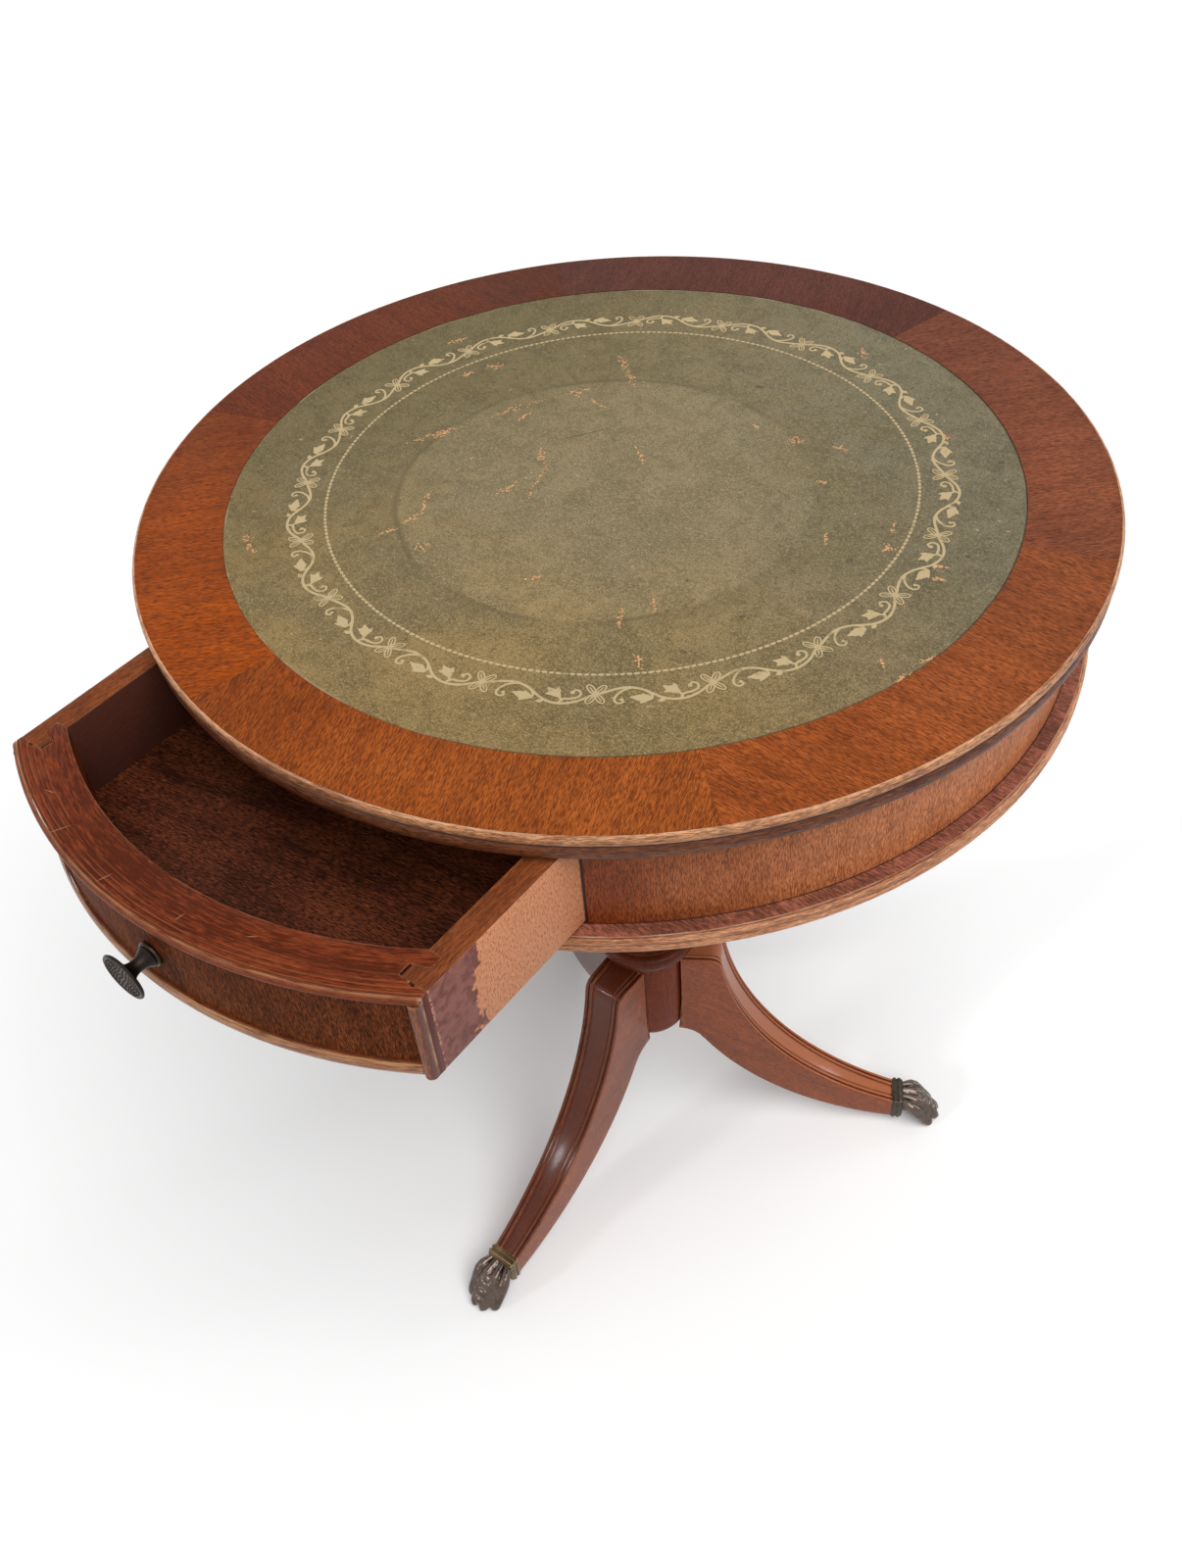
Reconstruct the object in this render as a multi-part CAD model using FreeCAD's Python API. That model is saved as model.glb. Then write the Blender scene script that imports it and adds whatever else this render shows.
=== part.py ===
import FreeCAD, Part
import math
import os

# Drum table: a round top with a leather inset, over a shallow drum that holds one bow-fronted
# drawer, on a turned column with three sabre legs that stand in cast paw caps.
# Millimetres, +Z up. The origin is on the floor, on the axis of the column.
# The drawer pulls towards -Y and is drawn partly open. One leg points the same way.

Vec = FreeCAD.Vector
ORIGIN = Vec(0, 0, 0)
UP = Vec(0, 0, 1)
FULL_TURN = 360.0
RIGHT_ANGLE = 90.0

# Driving dimensions
table_height = 713.0
top_radius = 305.0
top_thickness = 17.0
top_overhang = 17.0
crossband_width = 48.0
drum_height = 69.0
base_thickness = 11.0
ledge_width = 12.0
drawer_width = 306.0
drawer_back_reach = 120.0
drawer_open = 118.3
leg_reach = 226.0
cap_length = 47.0
knee_height = 241.0
hub_height = 100.0
hub_radius = 33.0
leg_count = 3

# Thicknesses and clearances that several pieces share
veneer_thickness = 1.4
glue_line = 0.3
running_gap = 0.5
cut_overrun = 5.0

# Levels and radii that follow
top_underside = table_height - top_thickness
base_face = top_underside - drum_height
base_underside = base_face - base_thickness
frieze_radius = top_radius - top_overhang
base_radius = frieze_radius + ledge_width
hub_underside = knee_height - hub_height
drawer_half = drawer_width / 2


def save(node, shape):
    """Write one piece of the table, or one group of like pieces, as its own file."""
    shape.exportStep(f"parts/{node}.step")


def disc(radius, low, high):
    return Part.makeCylinder(radius, high - low, Vec(0, 0, low))


def tube(inner, outer, low, high):
    return disc(outer, low, high).cut(disc(inner, low - cut_overrun, high + cut_overrun))


def block(x0, x1, y0, y1, z0, z1):
    return Part.makeBox(x1 - x0, y1 - y0, z1 - z0, Vec(x0, y0, z0))


def face_from(path):
    """Close a path into a face. A (middle, end) pair is an arc from the point before it."""
    edges = []
    here = path[0]
    for step in path[1:]:
        if isinstance(step, tuple):
            middle, end = step
            edges.append(Part.Arc(here, middle, end).toShape())
        else:
            end = step
            edges.append(Part.LineSegment(here, end).toShape())
        here = end
    if here != path[0]:
        edges.append(Part.LineSegment(here, path[0]).toShape())
    return Part.Face(Part.Wire(edges))


def upright(radius, height):
    """A point of an outline that stands in the XZ plane."""
    return Vec(radius, 0, height)


def bowed(start, end, bow):
    """An arc step between two points of the XZ plane, bowed to the right of its way, or left if below zero."""
    along = end - start
    side = Vec(along.z, 0, -along.x).normalize()
    return (start + end) * 0.5 + side * bow, end


def turned(path, angle=FULL_TURN, start=0.0):
    """Turn an upright outline about the table's axis."""
    solid = face_from(path).revolve(ORIGIN, UP, angle)
    return about_axis(solid, start)


def about_axis(shape, degrees):
    copy = shape.copy()
    copy.rotate(ORIGIN, UP, degrees)
    return copy


def mirrored(shape):
    return shape.mirror(ORIGIN, Vec(1, 0, 0))


def plan_prism(points, low, high):
    """A prism over straight plan points, from one level to another."""
    corners = [Vec(x, y, low) for x, y in points]
    return Part.Face(Part.makePolygon(corners + corners[:1])).extrude(Vec(0, 0, high - low))


def on_circle(radius, x):
    """How far from the XZ plane a circle about the axis lies at x."""
    return math.sqrt(radius**2 - x**2)


def countersunk_screw(radius, head_radius, head_depth, length):
    """A wood screw that points up from the origin, head down."""
    head = Part.makeCone(head_radius, radius, head_depth)
    shank = Part.makeCylinder(radius, length)
    return head.fuse(shank).removeSplitter()


# Top: a core disc, a reeded edge moulding round it, six crossbanding veneers and the leather
edge_width = 8.0
upper_reed = 8.0
reed_bow = 1.6
reed_quirk = 1.6
edge_foot_inset = 1.8
crossband_count = 6
crossband_start = -104.0
leather_thickness = 1.1
leather_gap = 0.2

core_radius = top_radius - edge_width
core_face = table_height - veneer_thickness
leather_radius = core_radius - crossband_width
crown_radius = top_radius - reed_bow


def build_top():
    save("top_board", disc(core_radius, top_underside, core_face))
    crown = upright(crown_radius, table_height)
    waist = upright(crown_radius, table_height - upper_reed)
    quirk = upright(crown_radius - reed_quirk, table_height - upper_reed)
    foot = upright(top_radius - edge_foot_inset, top_underside)
    outline = [upright(core_radius, top_underside), upright(core_radius, table_height), crown]
    outline += [bowed(crown, waist, -reed_bow), quirk, bowed(quirk, foot, -reed_bow)]
    save("top_edge_moulding", turned(outline))
    step = FULL_TURN / crossband_count
    seam = math.degrees(glue_line / core_radius)
    band = [upright(leather_radius + leather_gap, core_face), upright(core_radius, core_face)]
    band += [upright(core_radius, table_height), upright(leather_radius + leather_gap, table_height)]
    for number in range(crossband_count):
        veneer = turned(band, step - seam, crossband_start + number * step)
        save(f"crossband_{number + 1}", veneer)
    save("leather_inset", disc(leather_radius, core_face, core_face + leather_thickness))


# Drum: a frieze in three curved panels under one veneer, the stiles beside the drawer, the base
# board with its moulding, and the frame that guides the drawer
frieze_core = 18.0
opening_gap = 0.7
rear_panel_share = 0.34
stile_width = 30.0
stile_depth = 26.0
ledge_flat_share = 0.8
base_quirk = 1.0
base_setback = 1.0
base_reed = 5.0
board_rebate = 6.0
guide_width = 14.0
guide_height = 22.0
kicker_width = 22.0
kicker_lap = 6.0
rail_thickness = 18.0
rail_height = 46.0
stop_thickness = 4.0
stop_width = 30.0
stop_height = 20.0
stop_inset = 47.0
glue_block_size = 20.0
glue_block_length = 42.0
top_block_angles = (-18.0, 12.0, 62.0, 118.0, 168.0, 198.0)
base_block_angles = (-8.0, 30.0, 78.0, 102.0, 150.0, 188.0)

veneer_inside = frieze_radius - veneer_thickness
frieze_inside = veneer_inside - frieze_core
opening_half = drawer_half + opening_gap
guide_inside = drawer_half + running_gap
guide_outside = guide_inside + guide_width
board_radius = veneer_inside - board_rebate
stop_face = drawer_back_reach + glue_line
rail_front = stop_face + stop_thickness
rail_rear = rail_front + rail_thickness
stile_front = on_circle(frieze_inside, opening_half)


def drawer_opening():
    """The doorway through the frieze that the drawer passes."""
    return block(-opening_half, opening_half, -top_radius, 0, base_face, top_underside)


def frieze_panel(start, sweep):
    outline = [upright(frieze_inside, base_face), upright(veneer_inside, base_face)]
    outline += [upright(veneer_inside, top_underside), upright(frieze_inside, top_underside)]
    return turned(outline, sweep, start)


def inside_drum(shape):
    """Trim a piece to the round inside of the frieze."""
    return shape.common(disc(frieze_inside, base_face, top_underside))


def glue_blocks(angles, level, direction):
    """Three-cornered blocks that glue the frieze to the board above or below it."""
    corner = upright(frieze_inside, level)
    inner = upright(frieze_inside - glue_block_size, level)
    down = upright(frieze_inside, level + direction * glue_block_size)
    sweep = math.degrees(glue_block_length / frieze_inside)
    return Part.makeCompound([turned([corner, inner, down], sweep, angle - sweep / 2) for angle in angles])


def build_drum():
    opening = drawer_opening()
    rear_sweep = FULL_TURN * rear_panel_share
    side_sweep = (FULL_TURN - rear_sweep) / 2
    rear_start = RIGHT_ANGLE - rear_sweep / 2
    save("frieze_rear", frieze_panel(rear_start, rear_sweep))
    right = frieze_panel(rear_start - side_sweep, side_sweep).cut(opening)
    save("frieze_right", right)
    save("frieze_left", mirrored(right))
    save("frieze_veneer", tube(veneer_inside, frieze_radius, base_face, top_underside).cut(opening))

    stile_rear = stile_depth - stile_front
    stile = block(opening_half, opening_half + stile_width, -stile_front, stile_rear, base_face, top_underside)
    save("opening_stile_right", inside_drum(stile))
    save("opening_stile_left", mirrored(inside_drum(stile)))

    save("base_board", disc(board_radius, base_underside, base_face).cut(block_screws()))
    ledge_edge = frieze_radius + ledge_width * ledge_flat_share
    bead_top = upright(ledge_edge + base_quirk, base_face - base_quirk)
    bead_foot = upright(base_radius - base_quirk, base_face - base_thickness / 2)
    reed_top = upright(base_radius - base_quirk - base_setback, base_underside + base_reed)
    reed_foot = upright(base_radius - base_quirk, base_underside)
    outline = [upright(board_radius, base_underside), upright(board_radius, base_face)]
    outline += [upright(ledge_edge, base_face), upright(ledge_edge, base_face - base_quirk), bead_top]
    outline += [bowed(bead_top, bead_foot, -base_quirk), reed_top, bowed(reed_top, reed_foot, -base_quirk)]
    save("base_moulding", turned(outline))

    guide = block(guide_inside, guide_outside, stile_rear, rail_front, base_face, base_face + guide_height)
    save("drawer_guide_right", inside_drum(guide))
    save("drawer_guide_left", mirrored(inside_drum(guide)))
    kicker_inside = drawer_half - side_thickness - kicker_lap
    kicker_low = drawer_top + running_gap
    kicker = block(kicker_inside, kicker_inside + kicker_width, -stile_front, rail_front, kicker_low, top_underside)
    save("kicker_right", inside_drum(kicker))
    save("kicker_left", mirrored(inside_drum(kicker)))
    rail = block(-guide_outside, guide_outside, rail_front, rail_rear, base_face, base_face + rail_height)
    save("stop_rail", inside_drum(rail))
    stops = []
    for side in (-1, 1):
        middle = side * (side_inside - stop_inset)
        stops.append(block(middle - stop_width / 2, middle + stop_width / 2, stop_face, rail_front,
                           base_face, base_face + stop_height))
    save("drawer_stops", Part.makeCompound(stops))
    save("top_glue_blocks", glue_blocks(top_block_angles, top_underside, -1))
    save("base_glue_blocks", glue_blocks(base_block_angles, base_face, 1))


# Drawer: worked out closed, with its bowed face on the frieze's circle, and saved pulled open
drawer_lift = 1.0
drawer_headroom = 4.0
front_thickness = 30.0
front_core_inset = 2.4
bead_height = 8.5
bead_inset = 0.3
top_bead_height = 4.5
top_bead_proud = 0.5
end_bead_width = 5.8
end_bead_proud = 1.2
bead_nose_share = 0.7
panel_veneer = 1.0
panel_sunk = 5.0
side_thickness = 16.0
front_lap = 6.4
tail_length = 7.8
tail_taper = 3.2
tail_depth = 0.5
neck_cut = 8.5
tail_slot = 1.4
tip_slot_width = 3.6
tip_slot_depth = 1.8
tip_slot_place = 5.6
drawer_back_thickness = 12.0
drawer_back_drop = 6.0
back_housing = 5.0
floor_thickness = 6.0
floor_rise = 6.0
floor_groove = 4.0
floor_screw_radius = 1.6
floor_screw_head = 3.2
floor_screw_length = 20.0
floor_screw_inset = 37.0
floor_screw_count = 3

drawer_low = base_face + drawer_lift
drawer_top = top_underside - drawer_headroom
front_inside = frieze_radius - front_thickness
core_outside = frieze_radius - front_core_inset
panel_seat = frieze_radius - panel_sunk
veneer_seat = panel_seat + glue_line
knob_seat = veneer_seat + panel_veneer
bead_seat = core_outside + glue_line
panel_low = drawer_low + bead_height
panel_high = drawer_top - top_bead_height
side_inside = drawer_half - side_thickness
between_beads = drawer_half - end_bead_width
floor_low = drawer_low + floor_rise
floor_high = floor_low + floor_thickness


def pulled(shape):
    """The drawer's place in the drawing, pulled out of the drum."""
    copy = shape.copy()
    copy.translate(Vec(0, -drawer_open, 0))
    return copy


def drawer_span(half, low, high):
    """The slab in front of the XZ plane that bow-fronted pieces are trimmed to."""
    return block(-half, half, -top_radius, 0, low, high)


def drawer_side():
    """The right side, with the key on its front end that drops into the front."""
    tip = -on_circle(frieze_radius, drawer_half) + front_lap
    shoulder = -on_circle(front_inside, side_inside)
    neck = side_inside + neck_cut
    tail = side_inside - tail_depth
    points = [(drawer_half, drawer_back_reach), (drawer_half, tip), (tail, tip), (tail, tip + tail_length)]
    points += [(neck, tip + tail_length + tail_taper), (neck, shoulder), (side_inside, shoulder)]
    points.append((side_inside, drawer_back_reach))
    return plan_prism(points, drawer_low, drawer_top)


def tail_slots():
    """The slots that the cabinet maker left open beside the key, at its end and before its tip."""
    tip = -on_circle(frieze_radius, drawer_half) + front_lap
    tail = side_inside - tail_depth
    end_slot = block(tail - tail_slot, tail, tip, tip + tail_length, drawer_low, drawer_top)
    start = tail + tip_slot_place
    return [end_slot, block(start, start + tip_slot_width, tip - tip_slot_depth, tip, drawer_low, drawer_top)]


def drawer_floor():
    reach = side_inside + floor_groove
    sheet = block(-reach, reach, -top_radius, drawer_back_reach, floor_low, floor_high)
    return sheet.common(disc(front_inside + floor_groove, floor_low, floor_high))


def drawer_back():
    reach = side_inside + back_housing
    return block(-reach, reach, drawer_back_reach - drawer_back_thickness, drawer_back_reach,
                 floor_high, drawer_top - drawer_back_drop)


def floor_screws():
    reach = side_inside - floor_screw_inset
    pitch = 2 * reach / (floor_screw_count - 1)
    screws = []
    for number in range(floor_screw_count):
        screw = countersunk_screw(floor_screw_radius, floor_screw_head, floor_screw_head, floor_screw_length)
        y = drawer_back_reach - drawer_back_thickness / 2
        screw.translate(Vec(number * pitch - reach, y, floor_low))
        screws.append(screw)
    return Part.makeCompound(screws)


def bowed_bead(low, high, crown, half):
    """A bead with a rounded nose, out to the crown, that follows the bow of the front."""
    foot = upright(bead_seat, low)
    nose = bead_nose_share * min((high - low) / 2, crown - bead_seat)
    lower = upright(crown - nose, low)
    upper = upright(crown - nose, high)
    outline = [foot, lower, bowed(lower, upper, nose), upright(bead_seat, high)]
    return turned(outline, FULL_TURN / 2, -FULL_TURN / 2).common(drawer_span(half, low, high))


def end_bead():
    """The upright bead at the right end of the front, rounded across its width."""
    inner = drawer_half - end_bead_width
    nose = bead_nose_share * end_bead_width / 2
    shoulder_radius = frieze_radius + end_bead_proud - nose
    middle_x = (inner + drawer_half) / 2
    crown = Vec(middle_x, -on_circle(frieze_radius + end_bead_proud, middle_x), drawer_low)
    near, far = [Vec(x, -on_circle(bead_seat, x), drawer_low) for x in (inner, drawer_half)]
    near_top, far_top = [Vec(x, -on_circle(shoulder_radius, x), drawer_low) for x in (inner, drawer_half)]
    back = Vec(middle_x, -on_circle(bead_seat, middle_x), drawer_low)
    path = [near, near_top, (crown, far_top), far, (back, near)]
    return face_from(path).extrude(Vec(0, 0, panel_high - drawer_low))


def build_drawer():
    right = drawer_side()
    sides = right.fuse(mirrored(right))
    floor = drawer_floor()
    back = drawer_back()
    screws = floor_screws()
    hole = knob_hole()
    front = tube(front_inside, core_outside, drawer_low, drawer_top)
    front = front.common(drawer_span(drawer_half, drawer_low, drawer_top))
    for piece in tail_slots():
        front = front.cut(piece).cut(mirrored(piece))
    field = drawer_span(between_beads, panel_low, panel_high)
    front = front.cut(tube(panel_seat, frieze_radius, panel_low, panel_high).common(field))
    save("drawer_front", pulled(front.cut(sides).cut(floor).cut(hole)))
    panel = tube(veneer_seat, knob_seat, panel_low, panel_high).common(field)
    save("drawer_front_veneer", pulled(panel.cut(hole)))
    save("cock_bead_bottom", pulled(bowed_bead(drawer_low, panel_low, frieze_radius - bead_inset, between_beads)))
    save("cock_bead_top", pulled(bowed_bead(panel_high, drawer_top, frieze_radius + top_bead_proud, drawer_half)))
    save("cock_bead_right", pulled(end_bead()))
    save("cock_bead_left", pulled(mirrored(end_bead())))
    right = right.cut(floor).cut(back)
    save("drawer_side_right", pulled(right))
    save("drawer_side_left", pulled(mirrored(right)))
    save("drawer_back", pulled(back.cut(screws)))
    save("drawer_bottom", pulled(floor.cut(screws)))
    save("drawer_bottom_screws", pulled(screws))


# Knob: a cast brass knob on a rose, held by a bolt through the front
knob_drop = 1.0
rose_radius = 7.8
rose_thickness = 3.0
knob_waist_radius = 3.8
knob_projection = 20.3
knob_disc_radius = 14.5
knob_rim_thickness = 1.6
knob_back_rise = 1.2
knob_neck_radius = 6.8
bolt_radius = 2.0
bolt_clearance = 0.3
bolt_bite = 10.0
washer_radius = 7.0
washer_thickness = 1.5
nut_width = 7.0
nut_sides = 6
nut_thickness = 3.2
bolt_tail = 2.0

knob_level = (drawer_low + drawer_top) / 2 - knob_drop


def facing_front(shape):
    """Lay a piece that was turned about +Z so that +Z points out of the drawer's front."""
    copy = shape.copy()
    copy.rotate(ORIGIN, Vec(1, 0, 0), RIGHT_ANGLE)
    copy.translate(Vec(0, 0, knob_level))
    return copy


def knob_hole():
    return facing_front(disc(bolt_radius + bolt_clearance, front_inside - cut_overrun, knob_seat + cut_overrun))


def build_knob():
    seat = disc(knob_seat, drawer_low, drawer_top)
    rose_face = knob_seat + rose_thickness
    shank_hole = knob_hole()
    rose = facing_front(disc(rose_radius, knob_seat - veneer_thickness, rose_face)).cut(seat)
    save("knob_rose", pulled(rose.cut(shank_hole)))

    tip = knob_seat + knob_projection
    rim_back = tip - knob_rim_thickness
    disc_back = rim_back - knob_back_rise
    rim_radius = knob_disc_radius - knob_rim_thickness / 2
    rim = upright(knob_disc_radius, (tip + rim_back) / 2)
    waist = upright(knob_waist_radius, (rose_face + disc_back) / 2)
    outline = [upright(0, rose_face), upright(knob_neck_radius, rose_face)]
    outline.append((waist, upright(knob_neck_radius, disc_back)))
    outline += [upright(rim_radius, rim_back), (rim, upright(rim_radius, tip)), upright(0, tip)]
    bolt_end = rose_face + bolt_bite
    bolt_start = front_inside - washer_thickness - nut_thickness - bolt_tail
    bolt = facing_front(disc(bolt_radius, bolt_start, bolt_end))
    save("knob", pulled(facing_front(turned(outline)).cut(bolt)))
    save("knob_bolt", pulled(bolt))

    inner_face = disc(front_inside, drawer_low, drawer_top)
    washer_low = front_inside - washer_thickness
    washer = facing_front(disc(washer_radius, washer_low, front_inside)).common(inner_face)
    save("knob_washer", pulled(washer.cut(bolt)))
    corners = []
    corner_radius = nut_width / 2 / math.cos(math.pi / nut_sides)
    for number in range(nut_sides):
        angle = number * math.tau / nut_sides
        corners.append((corner_radius * math.cos(angle), corner_radius * math.sin(angle)))
    nut = facing_front(plan_prism(corners, washer_low - nut_thickness, washer_low))
    save("knob_nut", pulled(nut.cut(bolt)))


# Pedestal: a block under the drum, the turned column, its base ring and the hub for the legs
block_size = 184.0
block_thickness = 20.0
block_corner = 40.0
block_screw_radius = 2.5
block_screw_head = 5.0
block_screw_length = 27.0
block_screw_inset = 27.0
column_radius = 37.0
ring_radius = 44.0
ring_height = 20.0
ring_widest_share = 0.67
ring_lower_bow = 3.3
ring_upper_bow = 2.5
hub_rise = 6.0
hub_rounding = 13.0
upper_tenon_radius = 16.0
lower_tenon_radius = 12.0
lower_tenon_depth = 52.0
tongue_neck = 12.0
tongue_root = 18.0
tongue_reach = 12.0
tongue_drop = 14.0
plate_thickness = 2.0
plate_radius = 17.0
plate_arm_width = 13.0
plate_arm_reach = 37.0
plate_screw_inset = 9.0
plate_screw_radius = 1.8
plate_screw_head = 3.4
plate_screw_length = 18.0
# Column outline from its foot up, as shares of its largest radius and of its height
column_foot_shares = ((0.98, 0.0), (0.98, 0.022), (0.66, 0.05))
column_vase_shares = ((0.66, 0.05), (0.80, 0.10), (0.97, 0.19), (1.0, 0.27), (0.90, 0.39),
                      (0.71, 0.54), (0.56, 0.68), (0.50, 0.79))
column_head_shares = ((0.50, 0.82), (0.68, 0.835), (0.68, 0.865), (0.52, 0.88), (0.52, 0.905),
                      (0.78, 0.945), (1.0, 0.965), (1.0, 1.0))

hub_top = knee_height + hub_rise
ring_top = hub_top + ring_height
block_low = base_underside - block_thickness
column_height = block_low - ring_top
tongue_in = hub_radius - tongue_reach


def column_point(shares):
    return upright(shares[0] * column_radius, ring_top + shares[1] * column_height)


def build_column():
    vase = Part.BSplineCurve()
    vase.interpolate([column_point(shares) for shares in column_vase_shares])
    foot = [column_point(shares) for shares in column_foot_shares]
    head = [vase.EndPoint] + [column_point(shares) for shares in column_head_shares]
    top = [head[-1], upright(upper_tenon_radius, block_low), upright(upper_tenon_radius, base_underside)]
    top.append(upright(0, base_underside))
    low = hub_top - lower_tenon_depth
    bottom = [upright(0, low), upright(lower_tenon_radius, low), upright(lower_tenon_radius, ring_top), foot[0]]
    edges = [vase.toShape()]
    for run in (foot, head, top, [top[-1]] + bottom):
        for start, end in zip(run, run[1:]):
            edges.append(Part.LineSegment(start, end).toShape())
    outline = Part.Face(Part.Wire(Part.__sortEdges__(edges)))
    save("column", outline.revolve(ORIGIN, UP, FULL_TURN))

    swell = upright(ring_radius, hub_top + ring_widest_share * ring_height)
    foot_edge = upright(hub_radius, hub_top)
    crown = upright(column_radius, ring_top)
    outline = [upright(lower_tenon_radius, hub_top), foot_edge, bowed(foot_edge, swell, ring_lower_bow)]
    outline += [bowed(swell, crown, ring_upper_bow), upright(lower_tenon_radius, ring_top)]
    save("column_ring", turned(outline))


def block_screws():
    screws = []
    reach = block_size / 2 - block_screw_inset
    for x, y in ((reach, reach), (-reach, reach), (-reach, -reach), (reach, -reach)):
        screw = countersunk_screw(block_screw_radius, block_screw_head, block_screw_head, block_screw_length)
        screw.translate(Vec(x, y, block_low))
        screws.append(screw)
    return Part.makeCompound(screws)


def build_mounting_block():
    half = block_size / 2
    cut = half - block_corner
    points = [(half, cut), (cut, half), (-cut, half), (-half, cut), (-half, -cut), (-cut, -half)]
    points += [(cut, -half), (half, -cut)]
    body = plan_prism(points, block_low, base_underside)
    screws = block_screws()
    save("mounting_block", body.cut(screws).cut(disc(upper_tenon_radius, block_low, base_underside)))
    save("block_screws", screws)


def leg_tongue():
    """The dovetail on a leg's inner end, pointing along +X, that slides up into the hub."""
    outer = hub_radius + glue_line
    points = [(tongue_in, -tongue_root / 2), (tongue_in, tongue_root / 2)]
    points += [(outer, tongue_neck / 2), (outer, -tongue_neck / 2)]
    return plan_prism(points, hub_underside, knee_height - tongue_drop)


def leg_angles():
    return [-RIGHT_ANGLE + number * FULL_TURN / leg_count for number in range(leg_count)]


def plate_screws():
    screws = []
    for angle in leg_angles():
        screw = countersunk_screw(plate_screw_radius, plate_screw_head, plate_thickness, plate_screw_length)
        screw.translate(Vec(plate_arm_reach - plate_screw_inset, 0, hub_underside - plate_thickness))
        screws.append(about_axis(screw, angle))
    return Part.makeCompound(screws)


def build_hub():
    round_low = upright(hub_radius - hub_rounding, hub_underside)
    round_high = upright(hub_radius, hub_underside + hub_rounding)
    lean = hub_rounding * math.cos(math.radians(RIGHT_ANGLE / 2))
    shoulder = upright(hub_radius - hub_rounding + lean, hub_underside + hub_rounding - lean)
    outline = [upright(0, hub_underside), round_low, (shoulder, round_high), upright(hub_radius, hub_top)]
    outline.append(upright(0, hub_top))
    hub = turned(outline).cut(disc(lower_tenon_radius, hub_top - lower_tenon_depth, hub_top))
    arms = disc(plate_radius, hub_underside - plate_thickness, hub_underside)
    for angle in leg_angles():
        hub = hub.cut(about_axis(leg_tongue(), angle))
        arm = block(0, plate_arm_reach, -plate_arm_width / 2, plate_arm_width / 2,
                    hub_underside - plate_thickness, hub_underside)
        arms = arms.fuse(about_axis(arm, angle))
    screws = plate_screws()
    save("hub", hub.cut(screws))
    save("leg_plate", arms.removeSplitter().cut(screws))
    save("leg_plate_screws", screws)


# Legs: sabre curves with rounded knees and reeded upper edges, tapering to the caps
leg_width_at_hub = 38.0
leg_width_at_toe = 25.5
knee_reach = 65.0
knee_rounding = 12.0
underside_reach = 42.0
underside_rounding = 9.0
toe_top_height = 34.5
toe_underside_height = 10.5
top_curve_bow = 37.5
underside_bow = 28.5
fillet_tolerance = 0.3
reed_width = 3.4
reed_groove = 1.2
reed_depth = 1.2
panel_sink = 0.8
tenon_inset = 3.5
tenon_length = 16.0


def leg_slab(sink=0.0):
    """A leg along +X before it is tapered. A sink lowers its upper edge, to cut between the reeds."""
    top_knee = upright(knee_reach - sink, knee_height - sink)
    toe_top = upright(leg_reach, toe_top_height - sink)
    toe_low = upright(leg_reach, toe_underside_height)
    low_knee = upright(underside_reach, hub_underside)
    outline = [upright(0, hub_underside), upright(0, knee_height - sink), top_knee]
    outline.append(bowed(top_knee, toe_top, top_curve_bow))
    outline.append(toe_low)
    outline.append(bowed(toe_low, low_knee, -underside_bow))
    face = face_from(outline)
    slab = face.extrude(Vec(0, leg_width_at_hub, 0))
    slab.translate(Vec(0, -leg_width_at_hub / 2, 0))
    knees = ((top_knee, knee_rounding - sink), (low_knee, underside_rounding))
    for corner, radius in knees:
        edges = [edge for edge in slab.Edges if runs_across_at(edge, corner)]
        slab = slab.makeFillet(radius, edges)
    return slab


def runs_across_at(edge, corner):
    """Whether an edge crosses the leg at a corner of its outline."""
    ends = [vertex.Point for vertex in edge.Vertexes]
    return all(math.hypot(end.x - corner.x, end.z - corner.z) < fillet_tolerance for end in ends)


def half_width_at(reach):
    share = (reach - hub_radius) / (leg_reach - hub_radius)
    return (leg_width_at_hub + share * (leg_width_at_toe - leg_width_at_hub)) / 2


def along_leg(low_side, high_side):
    """A tall prism whose sides keep their distances from the leg's right and left sides."""
    points = [(0, low_side - half_width_at(0)), (leg_reach, low_side - half_width_at(leg_reach))]
    points += [(leg_reach, half_width_at(leg_reach) - high_side), (0, half_width_at(0) - high_side)]
    return plan_prism(points, 0, knee_height + cut_overrun)


def reed_grooves():
    """What is cut from the upper edge so that two reeds stand along each side of the leg."""
    whole = leg_slab()
    grooves = []
    near = reed_width
    far = reed_width + reed_groove
    strip = along_leg(near, near).cut(along_leg(far, far))
    grooves.append(whole.cut(leg_slab(reed_depth)).common(strip))
    inside = far + reed_width
    grooves.append(whole.cut(leg_slab(panel_sink)).common(along_leg(inside, inside)))
    return grooves


def leg_tenon():
    """The stub on the leg's outer end that the cap slides over."""
    half = leg_width_at_toe / 2 - tenon_inset
    return block(leg_reach - cut_overrun, leg_reach + tenon_length, -half, half,
                 toe_underside_height + tenon_inset, toe_top_height - tenon_inset)


def build_leg():
    """One leg along +X, with its dovetail tongue and its tenon."""
    leg = leg_slab().common(along_leg(0, 0))
    for groove in reed_grooves():
        leg = leg.cut(groove)
    leg = leg.cut(disc(hub_radius, 0, table_height))
    return leg.fuse(leg_tongue()).fuse(leg_tenon()).removeSplitter()


# Caps: cast paws with a ridged collar, four toes and a flat sole
collar_wall = 0.7
collar_length = 10.0
collar_ridge = 0.7
collar_ridge_width = 2.4
collar_ridge_places = (1.2, 5.6)
tendon_radius = 4.2
knuckle_radius = 5.8
toe_radius = 5.4
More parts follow.
